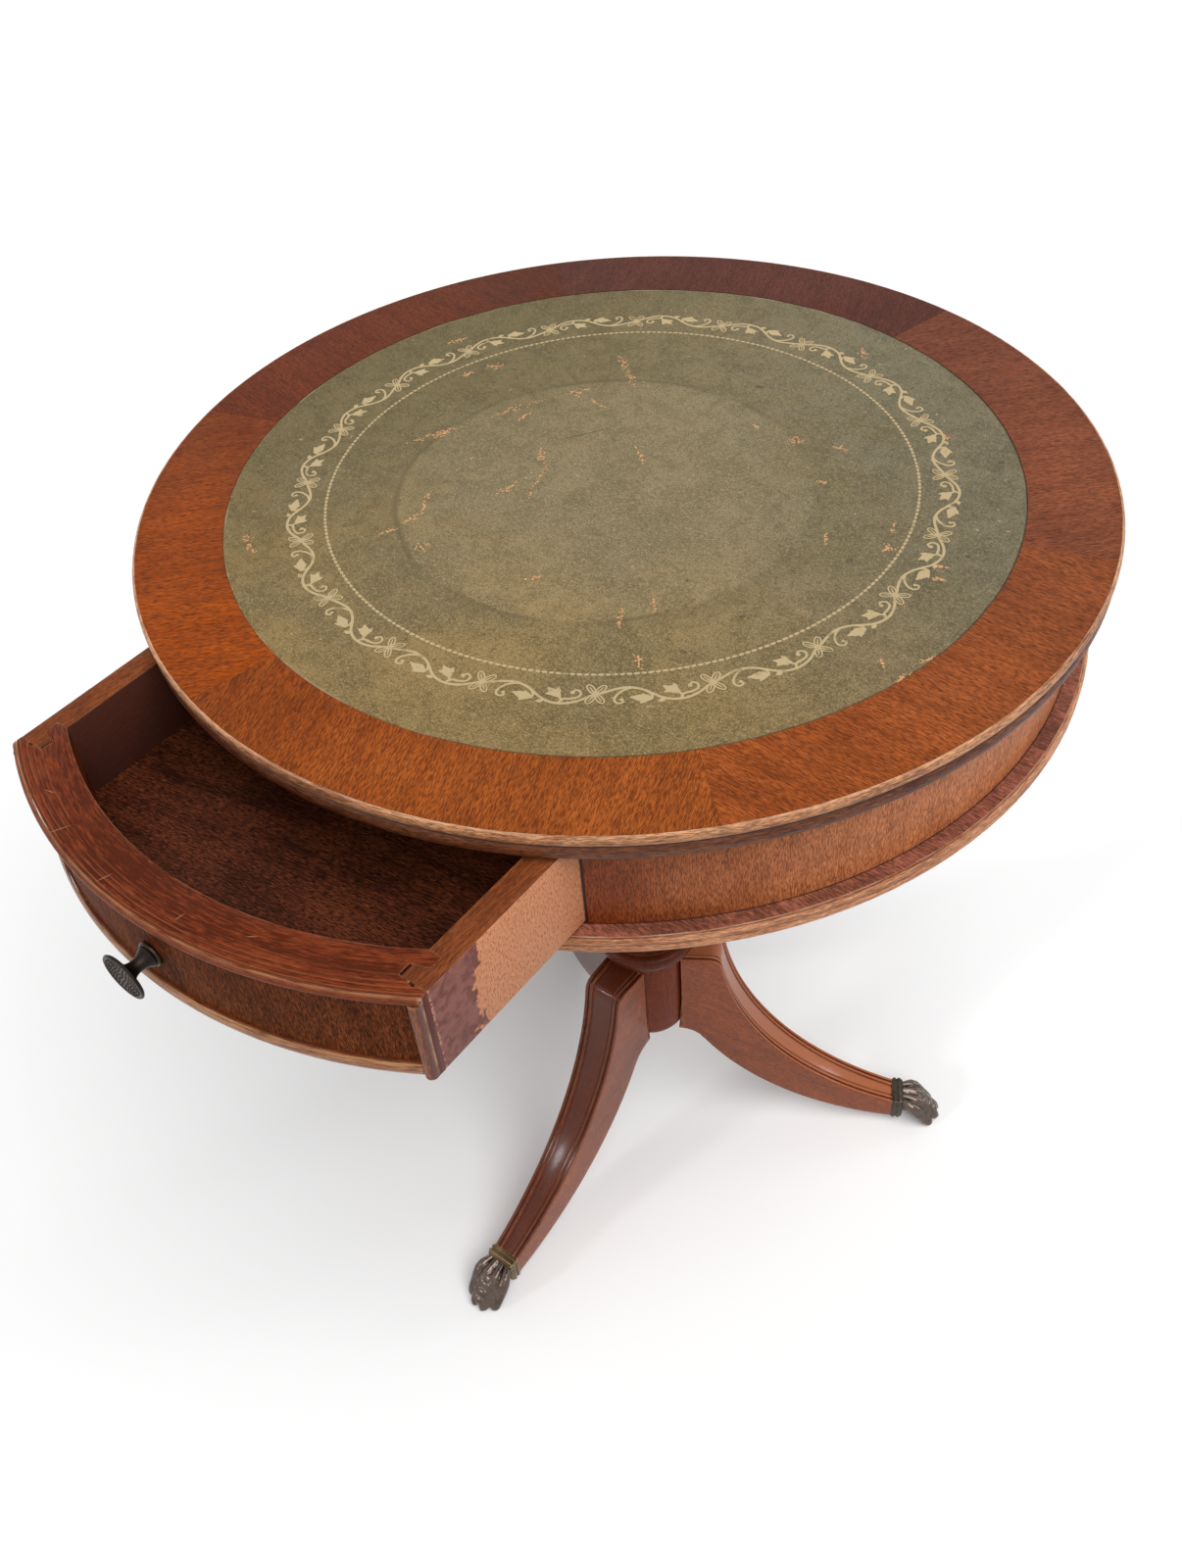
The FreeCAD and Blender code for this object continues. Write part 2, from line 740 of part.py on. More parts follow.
# Shares: along the paw from the collar, up the toe's top height, across the leg's width.
# Each toe has a share across the leg's width and a share of the paw's length that it reaches.
tendon_share = 0.30
tendon_height_share = 0.68
tendon_spread_share = 0.62
tip_spread_share = 0.90
knuckle_share = 0.54
knuckle_height_share = 0.66
toe_shares = ((-0.48, 0.85), (-0.17, 1.0), (0.17, 1.0), (0.48, 0.85))
pin_radius = 1.2
pin_inset = 4.0
# Paw sections from collar to toes: share of the way along, centre height and half height as
# shares of the toe's top height, half width as a share of the leg's width
paw_section_shares = ((0.05, 0.58, 0.40, 0.51), (0.26, 0.52, 0.44, 0.51), (0.46, 0.45, 0.47, 0.58),
                      (0.66, 0.40, 0.46, 0.64), (0.82, 0.30, 0.38, 0.56), (0.93, 0.18, 0.20, 0.38))

foot_reach = leg_reach + cap_length


def paw_section(shares):
    along, centre, half_height, half_width = shares
    across = half_width * leg_width_at_toe
    rise = half_height * toe_top_height
    middle = upright(leg_reach + along * cap_length, centre * toe_top_height)
    longer, shorter = (Vec(0, across, 0), UP * rise) if across > rise else (UP * rise, Vec(0, across, 0))
    return Part.Wire(Part.Ellipse(middle + longer, middle + shorter, middle).toShape())


def collar_band(wall, start, end):
    half = leg_width_at_toe / 2 + wall
    return block(start, end, -half, half, toe_underside_height - wall, toe_top_height + wall)


def bone(start, end, radius):
    """A round-ended rod, which shapes a tendon or a toe."""
    along = end - start
    return Part.makeSphere(radius, start).fuse(Part.makeCylinder(radius, along.Length, start, along))


def toe(spread, reach):
    """A tendon, a knuckle and the toe that curls down to the floor."""
    root = Vec(leg_reach + tendon_share * cap_length, tendon_spread_share * spread,
               tendon_height_share * toe_top_height)
    knuckle = Vec(leg_reach + knuckle_share * reach, spread, knuckle_height_share * toe_top_height)
    tip = Vec(leg_reach + reach - toe_radius, tip_spread_share * spread, toe_radius)
    upper = bone(root, knuckle, tendon_radius).fuse(Part.makeSphere(knuckle_radius, knuckle))
    return upper.fuse(bone(tip, knuckle, toe_radius))


def build_cap():
    """One cap along +X, hollow where the leg's tenon goes in."""
    paw = Part.makeLoft([paw_section(shares) for shares in paw_section_shares], True)
    cap = paw.fuse(collar_band(collar_wall, leg_reach, leg_reach + collar_length))
    for place in collar_ridge_places:
        start = leg_reach + place
        cap = cap.fuse(collar_band(collar_wall + collar_ridge, start, start + collar_ridge_width))
    for across, along in toe_shares:
        cap = cap.fuse(toe(across * leg_width_at_toe, along * cap_length))
    below = block(0, foot_reach + cut_overrun, -leg_width_at_hub, leg_width_at_hub, -table_height, 0)
    return cap.cut(below).cut(leg_tenon()).removeSplitter()


def cap_pin():
    top = toe_top_height + collar_wall
    low = (toe_top_height + toe_underside_height) / 2
    pin = Part.makeCylinder(pin_radius, top - low, upright(leg_reach + collar_length + pin_inset, low))
    return pin


def build_legs():
    names = ("front", "right", "left")
    screws = plate_screws()
    leg = build_leg()
    cap = build_cap()
    pin = cap_pin()
    pins = []
    for name, angle in zip(names, leg_angles()):
        save(f"leg_{name}", about_axis(leg.cut(pin), angle).cut(screws))
        save(f"paw_cap_{name}", about_axis(cap.cut(pin), angle))
        pins.append(about_axis(pin.common(cap.fuse(leg)), angle))
    save("cap_pins", Part.makeCompound(pins))


def main():
    os.makedirs("parts", exist_ok=True)
    build_top()
    build_drum()
    build_drawer()
    build_knob()
    build_mounting_block()
    build_column()
    build_hub()
    build_legs()


main()
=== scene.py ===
import logging
import math
import random
from abc import ABC, abstractmethod
from dataclasses import dataclass
from enum import Enum
from functools import reduce
from typing import Callable, Iterable, Sequence, Union

import bmesh
import bpy
from mathutils import Matrix, Vector


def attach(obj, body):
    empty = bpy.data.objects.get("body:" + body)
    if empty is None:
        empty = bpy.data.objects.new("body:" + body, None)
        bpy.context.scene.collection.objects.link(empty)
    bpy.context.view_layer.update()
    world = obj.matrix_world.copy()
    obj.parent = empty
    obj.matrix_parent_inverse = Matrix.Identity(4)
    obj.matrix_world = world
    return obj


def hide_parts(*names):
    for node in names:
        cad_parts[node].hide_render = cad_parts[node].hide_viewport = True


# The looks of a round drum table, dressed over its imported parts, with +Z up as in the parts.
# Sizes are in millimetres where no other unit is named, and every mesh is made in metres.

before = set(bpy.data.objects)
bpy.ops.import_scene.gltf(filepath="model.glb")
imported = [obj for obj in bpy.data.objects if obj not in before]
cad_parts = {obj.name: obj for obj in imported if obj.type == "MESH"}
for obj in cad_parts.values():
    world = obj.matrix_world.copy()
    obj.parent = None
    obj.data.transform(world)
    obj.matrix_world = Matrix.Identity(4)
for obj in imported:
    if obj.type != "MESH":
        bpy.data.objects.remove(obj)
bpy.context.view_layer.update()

LOG = logging.getLogger("drum_table")
MM = 0.001
WHITE = (1.0, 1.0, 1.0)
# The radius at which round grain is rolled out flat.
ROLL_RADIUS = 280.0
Colour = tuple[float, float, float]
Place = tuple[float, float]
Feed = Union["Value", float, tuple]
Label = Union[int, str]
Fill = Callable[..., dict[str, "Value"]]


class Value:
    """What a socket of a node tree gives. Sums of values are written as plain arithmetic."""

    def __init__(self, graph: "Graph", socket: bpy.types.NodeSocket) -> None:
        """Hold a socket.

        Args:
            graph: The graph that it belongs to.
            socket: The socket.
        """
        self.graph = graph
        self.socket = socket

    def worked(self, operation: str, *others: Feed) -> "Value":
        """Work on this value, part by part where it is a place.

        Args:
            operation: The operation of the Math or Vector Math node.
            others: The other value, where the operation has one.

        Returns:
            The result.
        """
        kind = "VectorMath" if self.socket.type == "VECTOR" else "Math"
        return self.graph.add(kind, dict(enumerate((self, *others))), operation=operation)

    def __add__(self, other: Feed) -> "Value":
        """The sum of two values."""
        return self.worked("ADD", other)

    def __sub__(self, other: Feed) -> "Value":
        """The difference of two values."""
        return self.worked("SUBTRACT", other)

    def __mul__(self, other: Feed) -> "Value":
        """The product of two values."""
        return self.worked("MULTIPLY", other)

    def __abs__(self) -> "Value":
        """The value without its sign."""
        return self.worked("ABSOLUTE")

    def either(self, other: Feed) -> "Value":
        """The larger of two values."""
        return self.worked("MAXIMUM", other)

    def length(self) -> "Value":
        """How far a place lies from nought."""
        return self.graph.add("VectorMath", {0: self}, "Value", operation="LENGTH")

    def part(self, axis: str) -> "Value":
        """The X, Y or Z of a place."""
        return self.graph.add("SeparateXYZ", {0: self}, axis)

    def turned(self, *turns: float) -> "Value":
        """A place turned about X, Y and Z, by so many degrees each."""
        feeds = {"Vector": self, "Rotation": tuple(math.radians(turn) for turn in turns)}
        return self.graph.add("Mapping", feeds)

    def step(self, low: float, high: float) -> "Value":
        """A smooth step from zero at low to one at high, which may be the smaller.

        Args:
            low: Where the step starts.
            high: Where it ends.

        Returns:
            The stepped value.
        """
        return self.graph.add("MapRange", {0: self, 1: low, 2: high}, interpolation_type="SMOOTHSTEP")

    def noise(self, scale: float, detail: float = 2.0, warp: float = 0.0) -> "Value":
        """Cloudy noise, read at this place.

        Args:
            scale: How many clouds there are to a millimetre.
            detail: How many finer layers are added.
            warp: How far the clouds are pulled out of shape.

        Returns:
            The noise, from zero to one.
        """
        feeds = {"Vector": self, "Scale": scale, "Detail": detail, "Distortion": warp}
        return self.graph.add("TexNoise", feeds)

    def wander(self, reach: float, scale: float, detail: float, warp: float = 0.0) -> "Value":
        """Cloudy noise about zero, which makes a border wander.

        Args:
            reach: How far apart its extremes lie.
            scale: How many clouds there are to a millimetre.
            detail: How many finer layers are added.
            warp: How far the clouds are pulled out of shape.

        Returns:
            The noise.
        """
        return (self.noise(scale, detail, warp) - 0.5) * reach

    def under(self, *layers: tuple[Feed, Feed]) -> "Value":
        """Lay further colours over this one, one after another.

        Args:
            layers: How much of each colour shows, and the colour.

        Returns:
            The colour that is seen.
        """
        colour = self
        for share, laid in layers:
            colour = self.graph.blend(share, colour, laid)
        return colour

    def toned(self, tone: Feed) -> "Value":
        """This colour times another one."""
        return self.graph.blend(1.0, self, tone, "MULTIPLY")


class Graph:
    """A node tree, with short ways to add nodes and join them."""

    def __init__(self, tree: bpy.types.NodeTree) -> None:
        """Work on the node tree of a material, a world or a group."""
        self.tree = tree

    def node(self, kind: str, feeds: dict[Label, Feed], **settings: object) -> bpy.types.Node:
        """Add a shader node.

        Args:
            kind: The node's type, without its ShaderNode prefix.
            feeds: What goes into its sockets.
            settings: Properties of the node.

        Returns:
            The new node.
        """
        node = self.tree.nodes.new("ShaderNode" + kind)
        for name, value in settings.items():
            setattr(node, name, value)
        for label, feed in feeds.items():
            self.feed(node.inputs[label], feed)
        return node

    def add(self, kind: str, feeds: dict[Label, Feed], out: Label = 0, **settings: object) -> Value:
        """Add a shader node for what it gives.

        Args:
            kind: The node's type, without its ShaderNode prefix.
            feeds: What goes into its sockets.
            out: Which of its outputs is wanted.
            settings: Properties of the node.

        Returns:
            The output's value.
        """
        return Value(self, self.node(kind, feeds, **settings).outputs[out])

    def feed(self, socket: bpy.types.NodeSocket, feed: Feed) -> None:
        """Link a value to a socket, or set the socket.

        Args:
            socket: The socket to feed.
            feed: A value, a number, a vector or a colour of three parts.
        """
        if isinstance(feed, Value):
            self.tree.links.new(feed.socket, socket)
        elif socket.type == "RGBA":
            socket.default_value = (*feed, 1.0)
        else:
            socket.default_value = feed

    def blend(self, share: Feed, first: Feed, second: Feed, mode: str = "MIX") -> Value:
        """Blend two colours.

        Args:
            share: How much of the second colour is taken.
            first: The first colour.
            second: The second colour.
            mode: The Mix node's way of blending.

        Returns:
            The blended colour.
        """
        return self.add("Mix", {0: share, 6: first, 7: second}, 2, data_type="RGBA", blend_type=mode)

    def bump(self, height: Value, strength: float, depth: float) -> Value:
        """Lift a surface by a small relief.

        Args:
            height: The relief, from zero to one.
            strength: How much of it shows.
            depth: How deep it is, in metres.

        Returns:
            The surface's new normal.
        """
        return self.add("Bump", {"Height": height, "Strength": strength, "Distance": depth})

    def place(self) -> Value:
        """The place on the piece, in millimetres."""
        return self.add("TexCoord", {}, "Object") * ((1.0 / MM,) * 3)

    def seen(self) -> Value:
        """Tell what the camera sees, straight or by way of a reflection or glass, from soft light.

        Returns:
            One for what is seen, and zero for soft light.
        """
        path = self.node("LightPath", {}).outputs
        rays = (Value(self, path[f"Is {kind} Ray"]) for kind in ("Camera", "Glossy", "Transmission"))
        return reduce(Value.either, rays)


@dataclass
class Effect:
    """A shader effect that several finishes share, built once as a node group.

    Args:
        fill: Adds the group's nodes. It is given the inputs, and returns the outputs by name.
        inputs: The kind of each input, by name.
        outputs: The kind of each output, by name.
        tree: The group, once it is built.
    """

    fill: Fill
    inputs: dict[str, str]
    outputs: dict[str, str]
    tree: bpy.types.NodeTree | None = None

    def build(self) -> None:
        """Build the group."""
        self.tree = bpy.data.node_groups.new(self.fill.__name__.replace("_", " "), "ShaderNodeTree")
        for side, kinds in (("INPUT", self.inputs), ("OUTPUT", self.outputs)):
            for label, kind in kinds.items():
                self.tree.interface.new_socket(label, in_out=side, socket_type="NodeSocket" + kind)
        graph = Graph(self.tree)
        given = self.tree.nodes.new("NodeGroupInput")
        result = self.tree.nodes.new("NodeGroupOutput")
        made = self.fill(*(Value(graph, given.outputs[label]) for label in self.inputs))
        for label, value in made.items():
            graph.feed(result.inputs[label], value)

    def use(self, graph: Graph, *feeds: Feed) -> dict[str, Value]:
        """Place the group in a graph.

        Args:
            graph: The graph.
            feeds: What goes into the group's inputs, in their order.

        Returns:
            Its outputs by name.
        """
        if self.tree is None:
            self.build()
        node = graph.node("Group", dict(zip(self.inputs, feeds)), node_tree=self.tree)
        return {label: Value(graph, node.outputs[label]) for label in self.outputs}


def shared(inputs: dict[str, str], outputs: dict[str, str]) -> Callable[[Fill], Effect]:
    """Make a shared effect of the function below it.

    Args:
        inputs: The kind of each input, by name.
        outputs: The kind of each output, by name.

    Returns:
        What turns the function into the effect.
    """
    return lambda fill: Effect(fill, inputs, outputs)


@dataclass(frozen=True)
class Layer:
    """One layer of streaks that run along Z.

    Args:
        squeeze: How much the place is squeezed along the streaks.
        scale: How many streaks there are to a millimetre.
        detail: How many finer layers are added.
        warp: How far they are pulled out of shape.
        weight: How much the layer counts in the wood's tone.
    """

    squeeze: float
    scale: float
    detail: float
    warp: float = 0.0
    weight: float = 0.0

    def at(self, place: Value) -> Value:
        """The layer's noise at a place."""
        return (place * (1.0, 1.0, self.squeeze)).noise(self.scale, self.detail, self.warp)


# The layers of noise that mahogany is made of, from its fibres to the crowding of its pores.
FIBRES = Layer(0.06, 1.9, 2.0, weight=0.10)
TONE_LAYERS = (Layer(0.10, 0.06, 3.0, 0.8, 0.27), Layer(1.0, 0.02, 3.0, 0.5, 0.22),
               Layer(0.035, 0.42, 3.0, 0.3, 0.15), Layer(0.12, 0.95, 2.0, weight=0.42))
PORE_LAYER = Layer(0.13, 2.1, 1.0)
CROWD_LAYER = Layer(0.3, 0.11, 3.0, weight=0.12)
MIDDLE_TONE = 0.58
TONE_CONTRAST = 7.0


@shared({"Vector": "Vector", "Pale": "Color", "Dark": "Color", "Pore": "Color", "Figure": "Float",
         "Pores": "Float"}, {"Color": "Color", "Height": "Float"})
def mahogany_grain(place: Value, pale: Value, dark: Value, pore: Value, figure: Value,
                   pores: Value) -> dict[str, Value]:
    """Mahogany with its grain along Z: figure, fibres and dark pores.

    Args:
        place: The place in the wood, in millimetres.
        pale: The colour between the streaks.
        dark: The colour of the streaks.
        pore: The colour of the open pores.
        figure: How strong the streaks are.
        pores: How strong the pores are.

    Returns:
        The wood's colour, and the relief of its fibres and pores.
    """
    fibres = FIBRES.at(place)
    tones = [layer.at(place) * layer.weight for layer in TONE_LAYERS]
    tone = reduce(Value.__add__, [*tones, fibres * FIBRES.weight]) - MIDDLE_TONE
    wood = place.graph.blend(tone * (figure * TONE_CONTRAST) + 0.5, pale, dark)
    crowded = PORE_LAYER.at(place) + CROWD_LAYER.at(place) * CROWD_LAYER.weight
    open_pores = crowded.step(0.50, 0.65) * pores
    return {"Color": wood.under((open_pores, pore)), "Height": fibres * 0.4 - open_pores}


@shared({"Vector": "Vector", "Centre": "Vector"}, {"Vector": "Vector", "Radius": "Float"})
def round_the_table(place: Value, centre: Value) -> dict[str, Value]:
    """Turns a place into one whose Z runs round an upright axis, with its seam at the back.

    Args:
        place: The place, in millimetres.
        centre: A point of the axis.

    Returns:
        The new place, and how far it lies from the axis.
    """
    off = place - centre
    radius = (off * (1.0, 1.0, 0.0)).length()
    angle = off.part("X").worked("ARCTAN2", off.part("Y") * -1.0)
    rolled_out = place.graph.add("CombineXYZ", {0: radius, 1: off.part("Z"), 2: angle * ROLL_RADIUS})
    return {"Vector": rolled_out, "Radius": radius}


@shared({"Vector": "Vector", "Reach": "Float"}, {"Mask": "Float"})
def worn_arris(place: Value, reach: Value) -> dict[str, Value]:
    """A mask of outer edges, broken up as rubbing leaves them.

    Args:
        place: The place, in millimetres.
        reach: How far in the rubbing reaches, in metres.

    Returns:
        The mask.
    """
    inside = place.graph.add("AmbientOcclusion", {"Distance": reach}, "AO", inside=True, only_local=True,
                             samples=6)
    return {"Mask": inside.step(0.80, 0.42) * place.noise(0.09, 4.0, 0.4).step(0.32, 0.62)}


@shared({"Reach": "Float"}, {"Mask": "Float"})
def grime(reach: Value) -> dict[str, Value]:
    """A mask of the hollows, from their ambient occlusion: where polish and soiling gather, and where shade
    is painted.

    Args:
        reach: How far out the darkening reaches, in metres.

    Returns:
        The mask.
    """
    # Ambient occlusion marks the hollows: what is laid there is partly soiling and partly painted shade.
    hollow = reach.graph.add("AmbientOcclusion", {"Distance": reach}, "AO", only_local=True, samples=6)
    return {"Mask": hollow.step(0.85, 0.35)}


@shared({"Vector": "Vector", "Place": "Vector", "Turn": "Vector", "Size": "Vector"}, {"Mask": "Float"})
def oval_mark(place: Value, middle: Value, turn: Value, size: Value) -> dict[str, Value]:
    """A soft oval mask in plan, for a scratch or a stain.

    Args:
        place: The place, in millimetres.
        middle: The oval's middle.
        turn: How far it is turned.
        size: Its half sizes.

    Returns:
        The mask.
    """
    feeds = {"Vector": place, "Location": middle, "Rotation": turn, "Scale": size}
    own = place.graph.add("Mapping", feeds, vector_type="TEXTURE")
    return {"Mask": (own * (1.0, 1.0, 0.0)).length().step(1.0, 0.25)}


def rolled(place: Value, centre: Place = (0.0, 0.0)) -> dict[str, Value]:
    """A place rolled out round an upright axis, whose Z is the arc, and its radius."""
    return round_the_table.use(place.graph, place, (*centre, 0.0))


@dataclass(frozen=True)
class Scuff:
    """A long mark on a level surface.

    Args:
        x: Its middle, in millimetres.
        y: Its middle, in millimetres.
        turn: Which way it runs, in degrees.
        length: Half its length, in millimetres.
        width: Half its width, in millimetres.
    """

    x: float
    y: float
    turn: float
    length: float
    width: float

    def mask(self, place: Value) -> Value:
        """A soft oval mask of the mark.

        Args:
            place: The place on the piece, in millimetres.

        Returns:
            The mask.
        """
        turn = (0.0, 0.0, math.radians(self.turn))
        size = (self.length, self.width, 1.0)
        return oval_mark.use(place.graph, place, (self.x, self.y, 0.0), turn, size)["Mask"]


@dataclass(frozen=True)
class Finish(ABC):
    """What a surface looks like."""

    name: str

    def build(self) -> bpy.types.Material:
        """Make the material.

        Returns:
            The finished material.
        """
        material = bpy.data.materials.new(self.name)
        material.use_nodes = True
        graph = Graph(material.node_tree)
        shader = material.node_tree.nodes["Principled BSDF"]
        for label, feed in self.paint(graph).items():
            graph.feed(shader.inputs[label], feed)
        return material

    @abstractmethod
    def paint(self, graph: Graph) -> dict[Label, Feed]:
        """Work out the surface.

        Args:
            graph: The material's graph.

        Returns:
            What goes into the sockets of its Principled shader.
        """


class Run(Enum):
    """Which way the grain of a piece runs, with the turns about X and Y that bring Z there."""

    UPRIGHT = ("upright", 0.0, 0.0)
    DEPTH = ("front to back", 90.0, 0.0)
    WIDTH = ("side to side", 0.0, 90.0)
    ROUND = ("round an axis", 0.0, 0.0)


@dataclass(frozen=True)
class Timber(Finish):
    """Polished mahogany.

    Args:
        name: The finish's name.
        pale: The colour between the streaks.
        dark: The colour of the streaks.
        pore: The colour of the open pores.
        run: Which way the grain runs.
        turn: How far the grain is turned about Z, in degrees.
        tilt: How far the grain is tipped from upright towards X, in degrees.
        centre: The plan point that round grain runs about, in millimetres.
        figure: How strong the streaks are.
        pores: How strong the pores are.
        gloss: The roughness of the polish.
        coat: How much clear polish lies on top.
        shine: How strongly the bare surface reflects.
        wear: How bright the rubbed edges are.
        worn: The colour of a rubbed edge.
        reach: How far in the rubbing reaches, in metres.
        dirt: How dark the hollows are made, partly as soiling and partly as painted shade.
        dirt_reach: How far out the darkening of the hollows reaches, in metres.
        soil: The colour laid in the hollows, partly soiling and partly painted shade.
    """

    pale: Colour = (0.30, 0.10, 0.035)
    dark: Colour = (0.15, 0.045, 0.018)
    pore: Colour = (0.045, 0.015, 0.008)
    run: Run = Run.UPRIGHT
    turn: float = 0.0
    tilt: float = 0.0
    centre: Place = (0.0, 0.0)
    figure: float = 0.6
    pores: float = 0.7
    gloss: float = 0.44
    coat: float = 0.0
    shine: float = 0.10
    wear: float = 0.0
    worn: Colour = (0.62, 0.34, 0.16)
    reach: float = 0.0015
    dirt: float = 0.0
    dirt_reach: float = 0.004
    soil: Colour = (0.030, 0.010, 0.006)

    def grain_place(self, place: Value) -> Value:
        """Turn a place so that the grain runs along its Z.

        Args:
            place: The place on the piece, in millimetres.

        Returns:
            The turned place.
        """
        if self.run is Run.ROUND:
            return rolled(place, self.centre)["Vector"]
        _, about_x, about_y = self.run.value
        return place.turned(0.0, 0.0, -self.turn).turned(about_x, about_y - self.tilt, 0.0)

    def tint(self, place: Value, colour: Value) -> Value:
        """Colour what is particular to one piece: plain timber has nothing more."""
        return colour

    def paint(self, graph: Graph) -> dict[Label, Feed]:
        """Work out grain, pores, worn edges and polish.

        Args:
            graph: The material's graph.

        Returns:
            What goes into the sockets of its Principled shader.
        """
        place = graph.place()
        along = self.grain_place(place)
        wood = mahogany_grain.use(graph, along, self.pale, self.dark, self.pore, self.figure, self.pores)
        colour = self.tint(place, wood["Color"])
        if self.wear:
            rubbed = along * (7.0, 7.0, 0.6) if self.run is Run.ROUND else place
            edge = worn_arris.use(graph, rubbed, self.reach)["Mask"]
            colour = colour.under((edge * self.wear, self.worn))
        # Darken the hollows, partly as soiling and partly as painted shade.
        if self.dirt:
            hollow = grime.use(graph, self.dirt_reach)["Mask"]
            colour = colour.under((hollow * self.dirt, self.soil))
        patchy = place.noise(0.03, 3.0) * 0.12 + (self.gloss - 0.06)
        return {"Base Color": colour, "Roughness": patchy, "Specular IOR Level": self.shine,
                "Coat Weight": self.coat, "Coat Roughness": 0.16,
                "Normal": graph.bump(wood["Height"], 0.35, 0.00025)}


@dataclass(frozen=True)
class VeneerTimber(Timber):
    """One laid veneer of the crossband, whose tone drifts from its first joint to its second, partly as its
    own tone and partly as painted light and shade.

    Args:
        joints: Where its joints lie, in degrees about the upright axis from the front.
        tones: What its colour is multiplied by at each joint.
    """

    joints: Place = (-30.0, 30.0)
    tones: tuple[Colour, Colour] = ((1.0, 1.0, 1.0), (1.0, 1.0, 1.0))

    def tint(self, place: Value, colour: Value) -> Value:
        """Let the tone drift along the veneer.

        Args:
            place: The place on the piece, in millimetres.
            colour: The wood's colour so far.

        Returns:
            The tinted colour.
        """
        arc = rolled(place)["Vector"].part("Z") + place.wander(160.0, 0.02, 3.0)
        low, high = (math.radians(joint) * ROLL_RADIUS for joint in self.joints)
        return colour.toned(place.graph.blend(arc.step(low, high), *self.tones))


@dataclass(frozen=True)
class FriezeTimber(Timber):
    """The drum's veneer, with painted shade beside the drawer and at the back, painted light and sheen at the
    sides, and a painted shade line where its ends stop at the drawer.

    Args:
        opening: Half the width of the drawer's opening, in millimetres.
        beside: What its colour is multiplied by beside the drawer, a painted shade.
        aside: What its colour is multiplied by at the sides, a painted light and sheen.
        behind: What its colour is multiplied by at the back, a painted shade.
        line: The colour of the painted shade line at the drawer.
    """

    opening: float = 153.7
    beside: Colour = (0.62, 0.46, 0.36)
    aside: Colour = (1.58, 1.95, 2.90)
    behind: Colour = (0.92, 0.86, 0.84)
    line: Colour = (0.012, 0.004, 0.003)

    def tint(self, place: Value, colour: Value) -> Value:
        """Paint shade, light and sheen as a drift of tone, and paint a shade line at the two ends.

        Args:
            place: The place on the piece, in millimetres.
            colour: The wood's colour so far.

        Returns:
            The tinted colour.
        """
        arc = abs(rolled(place)["Vector"].part("Z"))
        # The drift of tone paints shade beside the drawer and at the back, and light and sheen at the sides.
        drift = (arc + place.wander(160.0, 0.02, 3.0)).step(135.0, 330.0)
        tone = place.graph.blend(drift, self.beside, self.aside).under((arc.step(470.0, 620.0), self.behind))
        # The dark line at each end is painted shade of the gap beside the drawer.
        end = abs(place.part("X")).step(self.opening + 1.6, self.opening + 0.7)
        in_front = place.part("Y").step(-150.0, -160.0)
        return colour.toned(tone).under((end * in_front * 0.9, self.line))


@dataclass(frozen=True)
class BaseTimber(Timber):
    """The base moulding: a dark flat ledge inside, and a golden bead at the rim, rubbed and with a painted
    highlight.

    Args:
        ledge: The colour of the ledge.
        ledge_pore: The colour of its pores.
        ledge_radius: Where the ledge ends, in millimetres.
        frieze_radius: Where the drum stands on it.
        seam: The colour of the painted shadow line below the drum.
    """

    ledge: Colour = (0.46, 0.160, 0.096)
    ledge_pore: Colour = (0.060, 0.018, 0.012)
    ledge_radius: float = 297.3
    frieze_radius: float = 288.3
    seam: Colour = (0.020, 0.007, 0.005)

    def tint(self, place: Value, colour: Value) -> Value:
        """Darken the ledge, and paint a shadow line where the drum stands on it.

        Args:
            place: The place on the piece, in millimetres.
            colour: The wood's colour so far.

        Returns:
            The tinted colour.
        """
        radius = rolled(place)["Radius"]
        streak = tuple(0.42 * part for part in self.ledge)
        slanting = place.turned(0.0, 90.0, -50.0)
        wood = mahogany_grain.use(place.graph, slanting, self.ledge, streak, self.ledge_pore, 0.9, 0.7)
        # A painted shadow line where the drum stands on the moulding.
        below = radius.step(self.frieze_radius + 0.8, self.frieze_radius)
        dark = wood["Color"].under((below * 0.85, self.seam))
        return colour.under((radius.step(self.ledge_radius + 0.4, self.ledge_radius - 0.4), dark))


@dataclass(frozen=True)
class EdgeTimber(Timber):
    """The top's reeded edge: painted shade on its lower reed, and a painted shade line in the groove between
    the two.
    """

    groove: float = 704.9
    lower: Colour = (0.30, 0.20, 0.16)
    line: Colour = (0.030, 0.009, 0.004)

    def tint(self, place: Value, colour: Value) -> Value:
        """Paint shade in the groove and on the lower reed.

        Args:
            place: The place on the piece, in millimetres.
            colour: The wood's colour so far.

        Returns:
            The tinted colour.
        """
        height = place.part("Z")
        # Painted shade on the lower reed and in the groove.
        low = height.step(self.groove + 0.6, self.groove - 0.6)
        shaded = abs(height - self.groove).step(0.7, 0.2)
        return colour.under((low, colour.toned(self.lower)), (shaded * 0.85, self.line))


